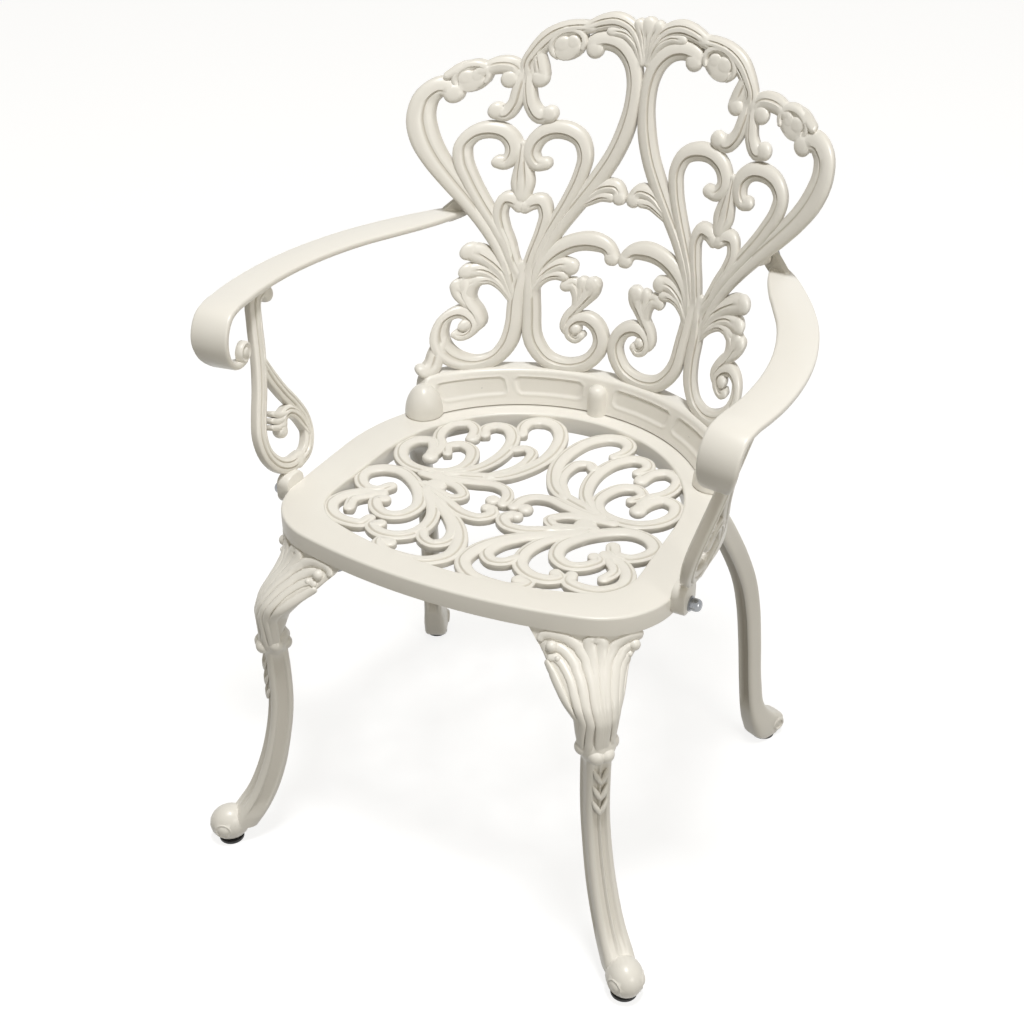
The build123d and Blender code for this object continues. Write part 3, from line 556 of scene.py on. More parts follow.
# curl that comes down on the end boss: along the arc, height, half width
endCurl = ((163, 84, 4), (170, 74, 6), (177, 64, 7.5), (184, 54, 8), (192, 48, 8))
endBall = (197, 49, 8.5, 0.8)


def backArc(rise):
    # radius of the back's arc at a height, and where along the chair its centre is
    s = backShell
    arc = s["lowArc"] + (s["highArc"] - s["lowArc"]) * rise / s["rise"]
    return arc, chair["seatY"] + s["lowArc"] + s["lean"] * rise / s["rise"] - arc


def onBack(spot):
    # flat place on the back: across, height above the seat, depth behind the sitter's face
    x, rise, depth = spot
    arc, centre = backArc(rise)
    return Vector((x, centre + sqrt(max(1.0, (arc + depth) ** 2 - x * x)), chair["seatTop"] + rise)) * mm


def onRail(spot):
    # along the rail's arc, height above the seat, depth behind the sitter's face
    along, rise, depth = spot
    arc, centre = backArc(rise)
    turn = along / backShell["lowArc"]
    return Vector(((arc + depth) * sin(turn), centre + (arc + depth) * cos(turn), chair["seatTop"] + rise)) * mm


rail = {
    "height": 45.0, "front": -3.0, "back": 21.0, "edge": 4.0, "halfTurn": 58.0, "endFall": 20.0, "endLow": 0.5,
    "seam": 1.8, "seamDeep": 3.0, "panels": ((20.0, 100.0), (112.0, 194.0)), "low": 14.5, "high": 35.5,
    "corner": 7.0, "sunk": 1.45, "slope": 2.0, "shadeTint": 0.15, "bead": 2.6, "beadProud": 0.9,
    "rows": 26, "stations": 180,
    "endTurn": 61.0, "endRadius": 24.0, "endHeight": 40.0, "endBack": 5.0, "endFoot": 0.94, "endSeam": (1.5, 1.8),
    "middleRadius": 12.0, "middleHeight": 38.0, "middleProud": 10.0,
    "middleOutline": ((0, 0), (1, 0), (1, 0.62), (0.93, 0.8), (0.75, 0.93), (0.4, 0.99), (0, 1)),
    "padX": 182.2, "padRise": 236.0, "padRadius": 9.5, "padStand": 5.0,
}


def panelSink(along, rise, s):
    # how far the face of the rail lies back inside its sunk panels, with a soft bead round each
    deepest = 0.0
    for start, stop in s["panels"]:
        half, tall = (stop - start) / 2 - s["corner"], (s["high"] - s["low"]) / 2 - s["corner"]
        dx = max(abs(abs(along) - (start + stop) / 2) - half, 0)
        dy = max(abs(rise - (s["high"] + s["low"]) / 2) - tall, 0)
        inside = s["corner"] - sqrt(dx * dx + dy * dy)
        if inside > 0:
            deepest = max(deepest, s["sunk"] * soft(inside / s["slope"]))
        elif inside > -s["bead"]:
            deepest = min(deepest, -s["beadProud"] * sin(-inside / s["bead"] * pi))
    return deepest


def railBand(s):
    high, front, back, edge = s["height"], s["front"], s["back"], s["edge"]
    seam = s["seam"]
    rises = [seam + i * (high - edge - seam) / s["rows"] for i in range(s["rows"] + 1)]
    crown = [(high - edge + edge * sin(a), front + edge * (1 - cos(a))) for a in (0.4, 0.8, 1.2, 1.57)]
    crown += [(high - edge + edge * sin(a), back - edge * (1 - cos(a))) for a in (1.57, 1.0, 0.5)]
    crown += [(high - edge, back), (0, back)]
    reach = radians(s["halfTurn"]) * backShell["lowArc"]
    rings = []
    for i in range(s["stations"] + 1):
        along = -reach + 2 * reach * i / s["stations"]
        # a painted shadow line along the seam at the rail's foot, and painted shade in the sunk panels
        ring = [(along, 0, front + s["seamDeep"], 1), (along, seam, front + s["seamDeep"], 1)]
        for rise in rises:
            sink = panelSink(along, rise, s)
            ring.append((along, rise, front + sink, max(0.0, sink / s["sunk"]) * s["shadeTint"]))
        ring += [(along, rise, depth, 0) for rise, depth in crown]
        near = max(0.0, (abs(along) - reach + s["endFall"]) / s["endFall"])
        low = 1 - (1 - s["endLow"]) * near * near
        rings.append([(place, rise * low, depth, paintedShade) for place, rise, depth, paintedShade in ring])
    return placed(sweep(rings), onRail)


def backJoint(s):
    # point on the outer stem where the arm bolts on behind, and its direction
    arc, _ = backArc(s["padRise"])
    front = onBack((s["padX"], s["padRise"], 0)) / mm
    return front, Vector((s["padX"] / arc, sqrt(arc**2 - s["padX"] ** 2) / arc, 0))


cartouche = {
    # the rim goes over the top and down the outer side: its size as shares of the oval, its turns, its half width
    "rim": (0.8, 0.77), "rimStart": -35.0, "rimTurn": 255.0, "rimSteps": 12, "rimHalf": 3.4, "rimSwell": 1.4,
    # field and lobes of the bean: place and half size as shares of the oval, depth, height
    "lobes": (
        (0.0, 0.0, 0.93, 0.93, 8.6, 4.4), (0.06, -0.26, 0.68, 0.62, 6.8, 6.4),
        (-0.28, -0.02, 0.34, 0.44, 6.8, 6.5), (0.22, 0.08, 0.42, 0.5, 6.8, 6.6),
    ),
    "flat": 5.0,
}


def makeCartouche(s, x, y, long, short, tilt):
    # a raised oval rim round a field with a bean of several lobes in it
    slant = Matrix.Rotation(radians(tilt), 3, "Z")

    def around(u, v, depth):
        return Vector((x, y, depth)) + slant @ Vector((u, v, 0))

    rim = []
    for i in range(s["rimSteps"] + 1):
        t = radians(s["rimStart"] + s["rimTurn"] * i / s["rimSteps"])
        half = s["rimHalf"] + s["rimSwell"] * sin(pi * i / s["rimSteps"])
        rim.append(around(long * s["rim"][0] * cos(t), short * s["rim"][1] * sin(t), half))
    parts = [strand(rim, cartoucheRim)]
    for u, v, wide, tall, depth, high in s["lobes"]:
        size = (long * wide, short * tall, high)
        parts.append(moved(ball(0, 0, 1, 0, 1, s["flat"]), size, slant, around(long * u, short * v, depth)))
    return parts


def endBoss(s):
    turn = radians(s["endTurn"])
    r, h = s["endRadius"], s["endHeight"]
    reach = backShell["lowArc"] + (s["front"] + s["back"]) / 2
    foot, (low, seam) = r * s["endFoot"], s["endSeam"]
    outline = [(0, 0), (foot, 0), (foot, low), (r, seam)]
    outline += [(r * cos(a), seam + (h - seam) * sin(a)) for a in (pi / 2 * i / 12 for i in range(1, 12))]
    y = chair["seatY"] + reach * cos(turn) + s["endBack"]
    return turned([*outline, (0, h)], (reach * sin(turn), y, chair["seatTop"]))


def middleBoss(s):
    r, h = s["middleRadius"], s["middleHeight"]
    y = chair["seatY"] + backShell["lowArc"] + s["front"] - s["middleProud"] + r
    return turned([(r * u, h * v) for u, v in s["middleOutline"]], (0, y, chair["seatTop"]))


def makeBack():
    thick, middle = scroll["thick"], scroll["thick"] / 2
    # neighbouring bars and balls differ a little in thickness, so that no two rear faces lie in one surface
    half = []
    for i, (form, points) in enumerate(backStrands):
        half.append(placed(strand(points, dict(form, thick=form["thick"] - 0.4 * (i % 5))), onBack))
    for i, (x, y, radius, proud) in enumerate(backBalls):
        depth = 6.6 - 0.3 * (i % 4)
        half.append(placed(ball(x, y, radius, depth, depth + proud), onBack))
    for oval in cartouches:
        half += [placed(part, onBack) for part in makeCartouche(cartouche, *oval)]
    half.append(placed(strand(endCurl, scroll), onRail))
    half.append(placed(ball(*endBall[:3], middle, middle + endBall[3]), onRail))
    front, out = backJoint(rail)
    half.append(disc(front, out, rail["padRadius"], middle, thick + rail["padStand"]))
    half.append(endBoss(rail))
    shells = [railBand(rail)] + half + [mirrored(part) for part in half]
    shells += [placed(strand(finial, lobe), onBack), middleBoss(rail)]
    finishPiece(fuse("back", shells), "back_panel")


makeBack()


# Seat


seat = {
    "radius": 238.0, "front": 217.0, "bow": 42.0, "corner": 92.0,
    "rear": 51.0, "side": 48.0, "frontWidth": 36.0, "innerCorner": 58.0,
    "depth": 22.0, "wall": 6.0, "edge": 3.0, "drop": 2.0,
    "ballDepth": 5.3, "ballHeight": 5.5, "bossRadius": 9.5, "bosses": (
        (213.0, -97.1), (128.2, -187.0), (177.0, 118.7), (201.7, 68.2), (142.1, 169.3), (0.0, 221.0),
    ),
}
grille = {
    "thick": 10.5, "crown": 0.36, "crownMost": 3.6, "backCrown": 2.0,
    "grooves": (0.42,), "grooveWide": 1.7, "grooveDeep": 1.3, "step": 0.7, "root": 0.0,
}
grilleOther = dict(grille, grooves=(-0.42,))
seatStrands = (
    (grille, (
        (96, -1, 7), (64, 10, 8), (36, 24, 9), (18, 52, 9.5), (9, 84, 9.5), (10, 117, 9.5),
        (21, 150, 9.5), (39, 168, 10), (56, 169, 10), (68, 158, 9), (69, 142, 8), (62, 126, 7),
    )),
    (grille, ((50, 16, 7), (30, 46, 7), (26, 72, 7), (31, 91, 7.5), (42, 96, 7), (52, 88, 7))),
    (grille, (
        (94, 0, 7), (71, 26, 8), (61, 57, 9), (61, 90, 9), (70, 117, 9), (87, 133, 9), (102, 131, 8.5),
        (109, 117, 8), (102, 104, 7),
    )),
    (grille, (
        (112, 92, 9), (119, 111, 8), (132, 120, 8), (148, 113, 8), (154, 93, 8), (149, 72, 8),
        (138, 58, 8), (135, 40, 8),
    )),
    (grilleOther, (
        (120, 42, 6), (128, 58, 7), (116, 70, 8), (101, 66, 8.5), (89, 47, 8.5), (87, 23, 8.5),
        (99, 3, 8.5), (122, -5, 8), (148, -2, 8.5), (168, 14, 9), (176, 37, 9), (168, 57, 9),
        (152, 61, 8.5), (141, 48, 8), (135, 29, 9),
    )),
    (grille, ((7, -30, 7.5), (9, -14, 7.5), (18, -2, 7), (34, 3, 7), (58, -3, 7), (85, -9, 7), (104, -8, 7))),
    (grille, ((98, -41, 7), (64, -57, 8), (36, -70, 8), (17, -69, 8), (7.5, -56, 8.5), (13, -46, 7))),
    (grilleOther, (
        (122, -12, 7), (92, -15, 7), (65, -24, 7), (55, -37, 7), (65, -46, 7), (86, -41, 7), (108, -33, 7),
    )),
    (grilleOther, (
        (141, -55, 8), (150, -69, 8), (165, -70, 8), (179, -58, 8.5), (184, -39, 9), (172, -24, 9),
        (150, -19, 9), (122, -33, 9), (100, -57, 9), (90, -82, 9), (96, -102, 9), (113, -111, 9),
        (132, -102, 8.5), (139, -86, 8), (131, -83, 7),
    )),
    (grille, (
        (141, -74, 8), (163, -81, 8), (178, -98, 9), (181, -118, 9.5), (168, -136, 9), (146, -143, 9),
        (127, -138, 8.5), (125, -126, 7),
    )),
    (grille, ((150, -82, 7), (163, -100, 7), (158, -117, 7))),
    (grilleOther, (
        (98, -46, 7), (79, -66, 8), (65, -89, 8.5), (61, -114, 9), (69, -135, 9), (88, -146, 9),
        (107, -144, 9), (116, -136, 8), (108, -130, 7),
    )),
    (grilleOther, (
        (98, -44, 7), (58, -72, 8), (26, -99, 8.5), (9, -133, 9.5), (9, -153, 9.5), (26, -172, 9),
        (56, -178, 9), (82, -173, 8.5), (91, -160, 8), (79, -159, 8),
    )),
    (grilleOther, (
        (82, -56, 7), (46, -84, 8), (27, -110, 8.5), (25, -129, 8.5), (37, -140, 8), (51, -135, 7.5),
        (58, -124, 7),
    )),
)
seatBalls = ((21, -28, 9), (19, -46, 7.5), (112, 90, 9), (135, 27, 10), (96, -30, 14), (104, -8, 10))


def onSeat(spot):
    x, y, depth = spot
    return Vector((x, y + chair["seatY"], chair["seatTop"] - seat["drop"] - depth)) * mm


def seatLoop(radius, side, front, corner):
    # round rear, straight sides and a bowed front with round corners, the same count of points each time
    bow = seat["bow"]
    arc = (side * side + bow * bow) / (2 * bow)
    middle = arc - front
    cornerY = middle - sqrt((arc - corner) ** 2 - (side - corner) ** 2)
    meet = atan2(middle - cornerY, side - corner)
    right = [(radius * cos(a), radius * sin(a)) for a in (pi / 2 * (1 - i / 30) for i in range(30))]
    right += [(radius + (side - radius) * i / 5, cornerY * i / 5) for i in range(5)]
    right += [
        (side - corner + corner * cos(a), cornerY - corner * sin(a)) for a in (meet * i / 14 for i in range(14))
    ]
    right += [(arc * sin(a), middle - arc * cos(a)) for a in ((pi / 2 - meet) * (1 - i / 14) for i in range(14))]
    left = [(-x, y) for x, y in reversed(right[1:])]
    return right + [(0.0, -front)] + left


def seatRim(s):
    outer = seatLoop(s["radius"], s["radius"], s["front"], s["corner"])
    inner = seatLoop(
        s["radius"] - s["rear"], s["radius"] - s["side"], s["front"] - s["frontWidth"], s["innerCorner"]
    )
    top, low, wall = chair["seatTop"], chair["seatTop"] - s["depth"], s["wall"]
    bends = bend(s["edge"], (0, 0.4, 0.8, 1.2, 1.57))
    rings = []
    for (ox, oy), (ix, iy) in zip(outer, inner):
        out, into = Vector((ox, oy + chair["seatY"])), Vector((ix, iy + chair["seatY"]))
        across = (into - out).normalized()
        ring = [(out, low)]
        ring += [(out + across * inset, top - fall) for inset, fall in bends]
        ring += [(into - across * inset, top - fall) for inset, fall in reversed(bends)]
        ring += [(into, low), (into - across * wall, low), (into - across * wall, top - wall)]
        ring += [(out + across * wall, top - wall), (out + across * wall, low)]
        rings.append([(spot.x, spot.y, z) for spot, z in ring])
    return placed(sweep(rings, closed=True), toMetres)


def makeSeat():
    half = [placed(strand(points, form), onSeat) for form, points in seatStrands]
    for x, y, radius in seatBalls:
        half.append(placed(ball(x, y, radius, seat["ballDepth"], seat["ballHeight"]), onSeat))
    low, high = chair["seatTop"] - seat["depth"], chair["seatTop"] - seat["wall"] + 1
    for x, y in seat["bosses"]:
        half.append(disc((x, y + chair["seatY"], 0), (0, 0, 1), seat["bossRadius"], low, high))
    shells = [seatRim(seat)] + half + [mirrored(part) for part in half]
    finishPiece(fuse("seat", shells), "seat_frame")


makeSeat()


# Arms


arm = {
    "height": 655.0, "thick": 8.0, "halfWidth": 22.0, "edge": 3.0, "steps": 6,
    "line": (
        (204.5, 243, 9), (220, 213, 16.5), (237, 179, 20.5), (257, 140, 22), (275, 100, 22), (288, 60, 22),
        (297, 20, 22), (302, -20, 22), (303, -60, 22), (301.5, -88, 22), (298.5, -111, 22),
    ),
    "front": (295.0, -133.0),
    "roll": (
        (3, -4.2, 0), (19, -8, 0), (31, -21, 0), (35, -38, 0.5), (31, -54, 3), (19, -65.5, 8), (5, -69, 14),
        (-5, -68, 17.5),
    ),
    # turned end of the band, seen from its inner edge: radius, height
    "eye": (-3.0, -57.5), "eyeTurned": (
        (0, 2.0), (3, 1.8), (5.2, 0.6), (6.2, -1.2), (7.2, -1.0), (8.6, 0.6), (10.2, 0.9), (11.5, 0.1), (12.2, -1.6),
        (12.2, -7.5), (0, -7.5),
    ),
    "footX": 245.0, "slope": 0.24,
    "lugAlong": -108.0, "lugLength": 34.0, "lugReach": 14.0, "lugTop": 14.0, "lugSink": 2.5, "lugCorner": 12.0,
    "lugEdge": 2.5,
    "tab": ((-25, -16, 11), (-13, -9, 13), (0, 0, 13)),
}
support = {
    "thick": 15.0, "crown": 0.5, "crownMost": 5.0, "backCrown": 5.0, "double": True,
    "grooves": (-0.34, 0.34), "grooveWide": 1.5, "grooveDeep": 2.0, "step": 0.5, "root": 0.0,
}
finger = dict(support, grooves=(), thick=12.0)
supportStrands = (
    (support, (
        (-62, 219, 8), (-77, 214, 9.5), (-88, 188, 10), (-95, 162, 10), (-103, 138, 9.5), (-113, 115, 9),
        (-125, 92, 9), (-134, 69, 9), (-132, 46, 9), (-119, 28, 9.5), (-100, 19, 9.5), (-82, 19, 9),
    )),
    (support, (
        (-97, 146, 6), (-89, 124, 8.5), (-78, 102, 8.5), (-64, 80, 8.5), (-54, 57, 8.5), (-55, 37, 8.5),
        (-66, 22, 8.5), (-86, 16, 8),
    )),
    (support, ((-56, 40, 3), (-60, 56, 6), (-67, 69, 7), (-79, 77, 7.5), (-90, 75, 7), (-95, 67, 6.5))),
    (finger, ((-86, 77, 3), (-97, 80, 3.6), (-107, 86, 3.4))),
    (finger, ((-90, 73, 3), (-101, 74, 3.6), (-111, 79, 3.4))),
    (finger, ((-93, 67, 3), (-105, 68, 3.6), (-114, 72, 3.2))),
)
supportBalls = ((-57, 212, 10), (-98, 61, 9))


def onSupport(spot):
    # flat place on the leaning support: along the chair, up from the seat, depth
    along, up, depth = spot
    lean = sqrt(1 + arm["slope"] ** 2)
    depth -= support["thick"] / 2
    x = arm["footX"] + (up * arm["slope"] + depth) / lean
    z = chair["seatTop"] + (up - depth * arm["slope"]) / lean
    return Vector((x, along + chair["seatY"], z)) * mm


def armBand(s, front, heading):
    half = s["thick"] / 2
    corner = bend(s["edge"], (0, 0.5, 1.0, 1.57))
    path = [(x, y, -half, width) for x, y, width in s["line"]]
    inward = Vector((heading.y, -heading.x, 0))
    for along, up, shift in s["roll"]:
        spot = front + heading * along + inward * shift
        path.append((spot.x, spot.y, up, s["halfWidth"] - shift))
    line = smoothLine(path, s["steps"])
    flat = s["steps"] * (len(s["line"]) - 1)
    rings = []
    for i, spot in enumerate(line):
        run = wayAt(line, i).to_3d().normalized()
        level = Vector((run.x, run.y, 0)).normalized() if i < flat else heading
        across = Vector((level.y, -level.x, 0))
        over = across.cross(run).normalized()
        here, wide = spot.to_3d(), spot.w
        ring = []
        for a, b, order in ((1, 1, 1), (-1, 1, -1), (-1, -1, 1), (1, -1, -1)):
            for inset, drop in corner[::order]:
                point = here + across * a * (wide - inset) + over * b * (half - drop)
                ring.append((point.x, point.y + chair["seatY"], point.z + s["height"]))
        rings.append(ring)
    return placed(sweep(rings), toMetres)


def roundedLoop(width, height, corner, each=6):
    loop = []
    for k, (sx, sy) in enumerate(((1, 1), (-1, 1), (-1, -1), (1, -1))):
        for i in range(each + 1):
            turn = (k + i / each) * pi / 2
            x = sx * (width / 2 - corner) + corner * cos(turn)
            y = sy * (height / 2 - corner) + corner * sin(turn)
            loop.append((x, y))
    return loop


def lugPlate(s):
    # rounded block on the seat's side that takes the bolt
    edge, thick = s["lugEdge"], s["lugReach"] + s["lugSink"]
    tall = s["lugTop"] + seat["depth"]
    soften = ((edge, 0), (0.3 * edge, 0.3 * edge), (0, edge))
    layers = [*soften, *((inset, thick - depth) for inset, depth in reversed(soften))]
    rings = []
    for inset, depth in layers:
        loop = roundedLoop(s["lugLength"] - 2 * inset, tall - 2 * inset, s["lugCorner"] - inset)
        rings.append([(x, y, depth) for x, y in loop])
    x, y = chair["seatRadius"] - s["lugSink"], s["lugAlong"] + chair["seatY"]
    z = chair["seatTop"] + (s["lugTop"] - seat["depth"]) / 2
    return placed(sweep(rings), lambda p: Vector((x + p.z, y + p.x, z + p.y)) * mm)


def backTab(s):
    # tongue behind the back's outer stem
    point, out = backJoint(rail)
    start = point + out * (scroll["thick"] + rail["padStand"])
    side = Vector((-out.y, out.x, 0))
    form = dict(support, grooves=(), double=False, thick=s["thick"], crown=0.15, crownMost=1.2)
    return placed(
        strand(s["tab"], form), lambda p: (start + side * p.x + Vector((0, 0, p.y)) + out * (s["thick"] - p.z)) * mm
    )


def makeArm(s):
    front = Vector((*s["front"], 0))
    heading = (front - Vector((*s["line"][-1][:2], 0))).normalized()
    along, up = s["eye"]
    centre = front + heading * along + Vector((0, chair["seatY"], s["height"] + up))
    across = Vector((heading.y, -heading.x, 0))
    shells = [armBand(s, front, heading), turned(s["eyeTurned"], centre + across * s["halfWidth"], across, 36)]
    shells += [placed(strand(points, form), onSupport) for form, points in supportStrands]
    middle = support["thick"] / 2
    shells += [placed(ball(x, y, radius, middle, middle), onSupport) for x, y, radius in supportBalls]
    shells += [lugPlate(s), backTab(s)]
    finishPair("rightArm", "leftArm", "right_arm", shells)


makeArm(arm)


# Legs


def legSpot(s, along, aside, height):
    # place in a leg's own directions, from the middle of its foot
    (x, y), (hx, hy) = s["foot"], s["heading"]
    return Vector((x + along * hx + aside * hy, y + along * hy - aside * hx + chair["seatY"], height))


def legRings(s, sections, steps, count, power, shape):
    # level rings through the sections; shape gives a change of radius and an amount of painted shade for an angle and
    # a height
    rings = []
    for spot in smoothLine([(*section, 0) for section in sections], steps):
        along, aside, height, depth, width = spot[:5]
        ring = []
        for i in range(count):
            a = 2 * pi * i / count
            c, n = cos(a), sin(a)
            grow = (abs(c) ** power + abs(n) ** power) ** (-1 / power)
            change, paintedShade = shape(degrees(a), height)
            point = legSpot(
                s, along + (depth / 2 * grow + change) * c, aside + (width / 2 * grow + change) * n, height
            )
            ring.append((*point, paintedShade))
        rings.append(ring)
    return placed(sweep(rings), toMetres)


def between(height, limits):
    # 1 in the middle of a leg, easing off in a straight line at both limits
    high, highRun, low, lowRun = limits
    return min(1.0, max(0.0, (high - height) / highRun)) * min(1.0, max(0.0, (height - low) / lowRun))


def soleCut(level):
    bm = emptyMesh()
    bmesh.ops.create_cube(bm, size=1)
    return moved(bm, (2, 2, 0.2), shift=(0, 0, level * mm - 0.1))


flange = {
    "thick": 8.0, "half": 13.0, "crown": 0.05, "crownMost": 0.6, "backCrown": 1.0,
    "grooves": (), "grooveWide": 1, "grooveDeep": 0, "step": 0, "root": 0,
}


def earPlates(s):
    # flanges under the seat, one to each bolt
    under = chair["seatTop"] - seat["depth"]
    lines = [((*s["top"], flange["half"]), (*ear, flange["half"])) for ear in s["ears"]]
    return [
        placed(strand(line, flange), lambda p: Vector((p.x, p.y + chair["seatY"], under - p.z)) * mm)
        for line in lines
    ]


frontLeg = {
    "foot": (264.0, -264.0), "heading": (0.72, -0.694),
    "knee": (
        (-117, 15.5, 408, 52, 135), (-112, 15.5, 398, 54, 125), (-98, 15.5, 372, 56, 87), (-78, 13, 335, 41, 48),
        (-73, 13.5, 305, 28, 38), (-73.5, 13, 290, 26, 35),
    ),
    "shank": (
        (-75, 12, 298, 27, 30), (-77, 11.5, 255, 28, 29.5), (-76, 10.5, 200, 28, 29), (-69.5, 9, 155, 28.5, 29.5),
        (-59, 7, 111, 31, 31), (-44, 4, 70, 34, 33), (-27, 1, 40, 38, 36), (-16, 0, 24, 38, 36),
    ),
    "shankPanel": 2.3, "panelHalf": 31.0, "panelSlope": 5.5, "shankRidge": 2.9, "ridgeHalf": 12.0,
    "shankFade": (284.0, 14.0, 40.0, 22.0), "shankShade": 0.35,
    "collar": (
        (-74.5, 12, 309, 28, 33), (-75, 12, 304, 33, 39), (-75, 12, 296, 36, 42), (-75, 12, 288, 33, 38),
        (-75.5, 12, 281, 25, 28),
    ),
    "collarAt": (-75.0, 12.0), "collarReach": (13.0, 15.0),
    "kneeFree": 62.0, "kneeInset": 2.0, "kneeSink": 1.6, "kneeBlend": 14.0, "kneeShade": 0.3,
    "kneeRows": 31, "kneeStep": 4.0, "kneeRound": 56, "leafProud": 0.55, "leafSink": 0.12,
    "toe": (-1.0, 0.0, 25.0), "toeSize": (24.5, 21.0, 23.0), "sole": 4.0,
    # eye in the side of the toe: radius as a share, height above the ball
    "eyeTurn": 62.0, "eyeRadius": 11.0, "eyeDeep": 9.0, "eye": (
        (0, 1.0), (0.3, 0.9), (0.52, 0.4), (0.66, -0.5), (0.74, 0.1), (0.85, 0.8), (0.95, 0.3), (1, -0.6),
    ),
    # leaves on the knee: angle round from the front, height, half width; both sides of kneeTurn
    "kneeTurn": -3.0,
    "leaves": (
        (
            (80, 397, 4), (68, 401, 5), (52, 402, 5.5), (37, 400.5, 5.8), (25, 394, 5.8), (17, 384, 5.6),
            (12, 371, 5.2), (12, 350, 4.4), (13, 328, 3.8), (14, 310, 3.4), (14, 297, 3),
        ),
        (
            (60, 392, 4.5), (50, 392, 5.2), (39, 386.5, 5.6), (31, 375, 5.6), (28, 362, 5.2), (31, 344, 4.6),
            (39, 322, 4.2), (46, 307, 3.8), (50, 296, 3.2),
        ),
        (
            (73, 384, 4), (62, 384.5, 4.4), (52, 379, 4.6), (46, 368, 4.6), (46, 354, 4.4), (54, 338, 4.4),
            (68, 318, 4.2), (82, 302, 4),
        ),
        ((96, 378, 4), (84, 370, 5), (76, 356, 5), (77, 340, 5), (88, 320, 5), (104, 302, 5)),
        # halves of the middle leaf
        (
            (1, 403, 5), (6.5, 400, 7.2), (7.5, 392, 7), (6.5, 382, 5.4), (5, 370, 3.8), (4, 352, 2.8),
            (4, 326, 2.8), (4, 298, 2.6),
        ),
    ),
    "kneeBalls": ((63, 392, 6.6), (59, 384, 3.6)),
    "drops": ((38, 318, 3), (44, 308, 4.2), (50, 298, 4)),
    "collarBalls": ((20, 291, 9.5), (92, 297, 9.5), (150, 293, 8.5)),
    "husks": (262.0, 240.0, 220.0), "huskAt": (-63.0, 11.0), "huskReach": 10.0, "huskHalf": 8.0,
    "huskLine": ((0, 0.8), (0.15, 2.2), (0.45, 3.2), (0.75, 2.8), (0.95, 1.4), (1, 0.5)),
    "ears": ((213.0, -97.1), (128.2, -187.0)), "top": (157.0, -167.0),
}


def insideRim(spot, inset):
    # the spot itself, or the nearest place on the rim's outline moved in a little
    side = seat["radius"] - inset
    loop = [Vector(p) for p in seatLoop(side, side, seat["front"] - inset, seat["corner"] - inset)]
    best, nearest, inside = None, 1e9, True
    for a, b in zip(loop, loop[1:] + loop[:1]):
        run = b - a
        t = min(1.0, max(0.0, (spot - a).dot(run) / run.length_squared))
        foot = a + run * t
        gap = (spot - foot).length
        if gap < nearest:
            best, nearest = foot, gap
            inside = run.x * (spot.y - a.y) - run.y * (spot.x - a.x) < 0
    return spot if inside else best


def kneePoint(s, angle, height):
    # place on the knee's face; near its top the face keeps inside the seat's rim
    rows = s["knee"]
    height = min(max(height, rows[-1][2]), rows[0][2])
    for high, low in zip(rows, rows[1:]):
        if high[2] >= height >= low[2]:
            break
    t = (high[2] - height) / (high[2] - low[2])
    along, aside, _, depth, width = (a + (b - a) * t for a, b in zip(high, low))
    spot = legSpot(s, along + depth / 2 * cos(radians(angle)), aside + width / 2 * sin(radians(angle)), height)
    free = (rows[0][2] - height) / s["kneeFree"]
    if free < 1:
        flat = Vector((spot.x, spot.y - chair["seatY"]))
        held = insideRim(flat, s["kneeInset"])
        flat = held + (flat - held) * soft(free)
        spot = Vector((flat.x, flat.y + chair["seatY"], height))
    return spot


def kneeAt(s, angle, height, near=3):
    # point of the knee's face and its outward direction
    sideways = kneePoint(s, angle + near, height) - kneePoint(s, angle - near, height)
    raised = kneePoint(s, angle, height + near) - kneePoint(s, angle, height - near)
    return kneePoint(s, angle, height), raised.cross(sideways).normalized()


def kneeBody(s):
    top, count = s["knee"][0][2], s["kneeRound"]
    rings = []
    for height in [top - s["kneeStep"] * i for i in range(s["kneeRows"])] + [s["knee"][-1][2]]:
        t = min(1.0, (top - height) / s["kneeBlend"])
        ring = []
        for i in range(count):
            spot, out = kneeAt(s, 360 * i / count, height)
            spot = spot - out * s["kneeSink"] * soft(t)
            # the knee's face between the leaves is sunk and painted darker below its top: painted shade
            ring.append((spot.x, spot.y, height, s["kneeShade"] * t))
        rings.append(ring)
    return placed(sweep(rings), toMetres)


def ridge(s, points, count=18):
    # a rounded leaf lying on the knee
    line = smoothLine(points, 5)
    places = [kneeAt(s, spot.x, spot.y) for spot in line]
    runs = [wayAt([here for here, _ in places], i).normalized() for i in range(len(line))]
    rings = []
    for (here, out), run, spot in zip(places, runs, line):
        side = run.cross(out).normalized()
        face = side.cross(run).normalized()
        turns = [2 * pi * k / count for k in range(count)]
        rings.append([
            here + (side * cos(a) + face * (s["leafProud"] * sin(a) - s["leafSink"])) * spot.z for a in turns
        ])

    def roundEnd(i, way):
        middle = sum(rings[i], Vector()) / count
        tip = runs[i] * way * line[i].z
        return [[middle + (p - middle) * cos(a) + tip * sin(a) for p in rings[i]] for a in (0.35, 0.8, 1.2, 1.5)]

    return placed(sweep(roundEnd(0, -1)[::-1] + rings + roundEnd(-1, 1)), toMetres)


def knob(centre, radius):
    bm = emptyMesh()
    bmesh.ops.create_uvsphere(bm, u_segments=20, v_segments=12, radius=radius * mm)
    return moved(bm, shift=Vector(centre) * mm)


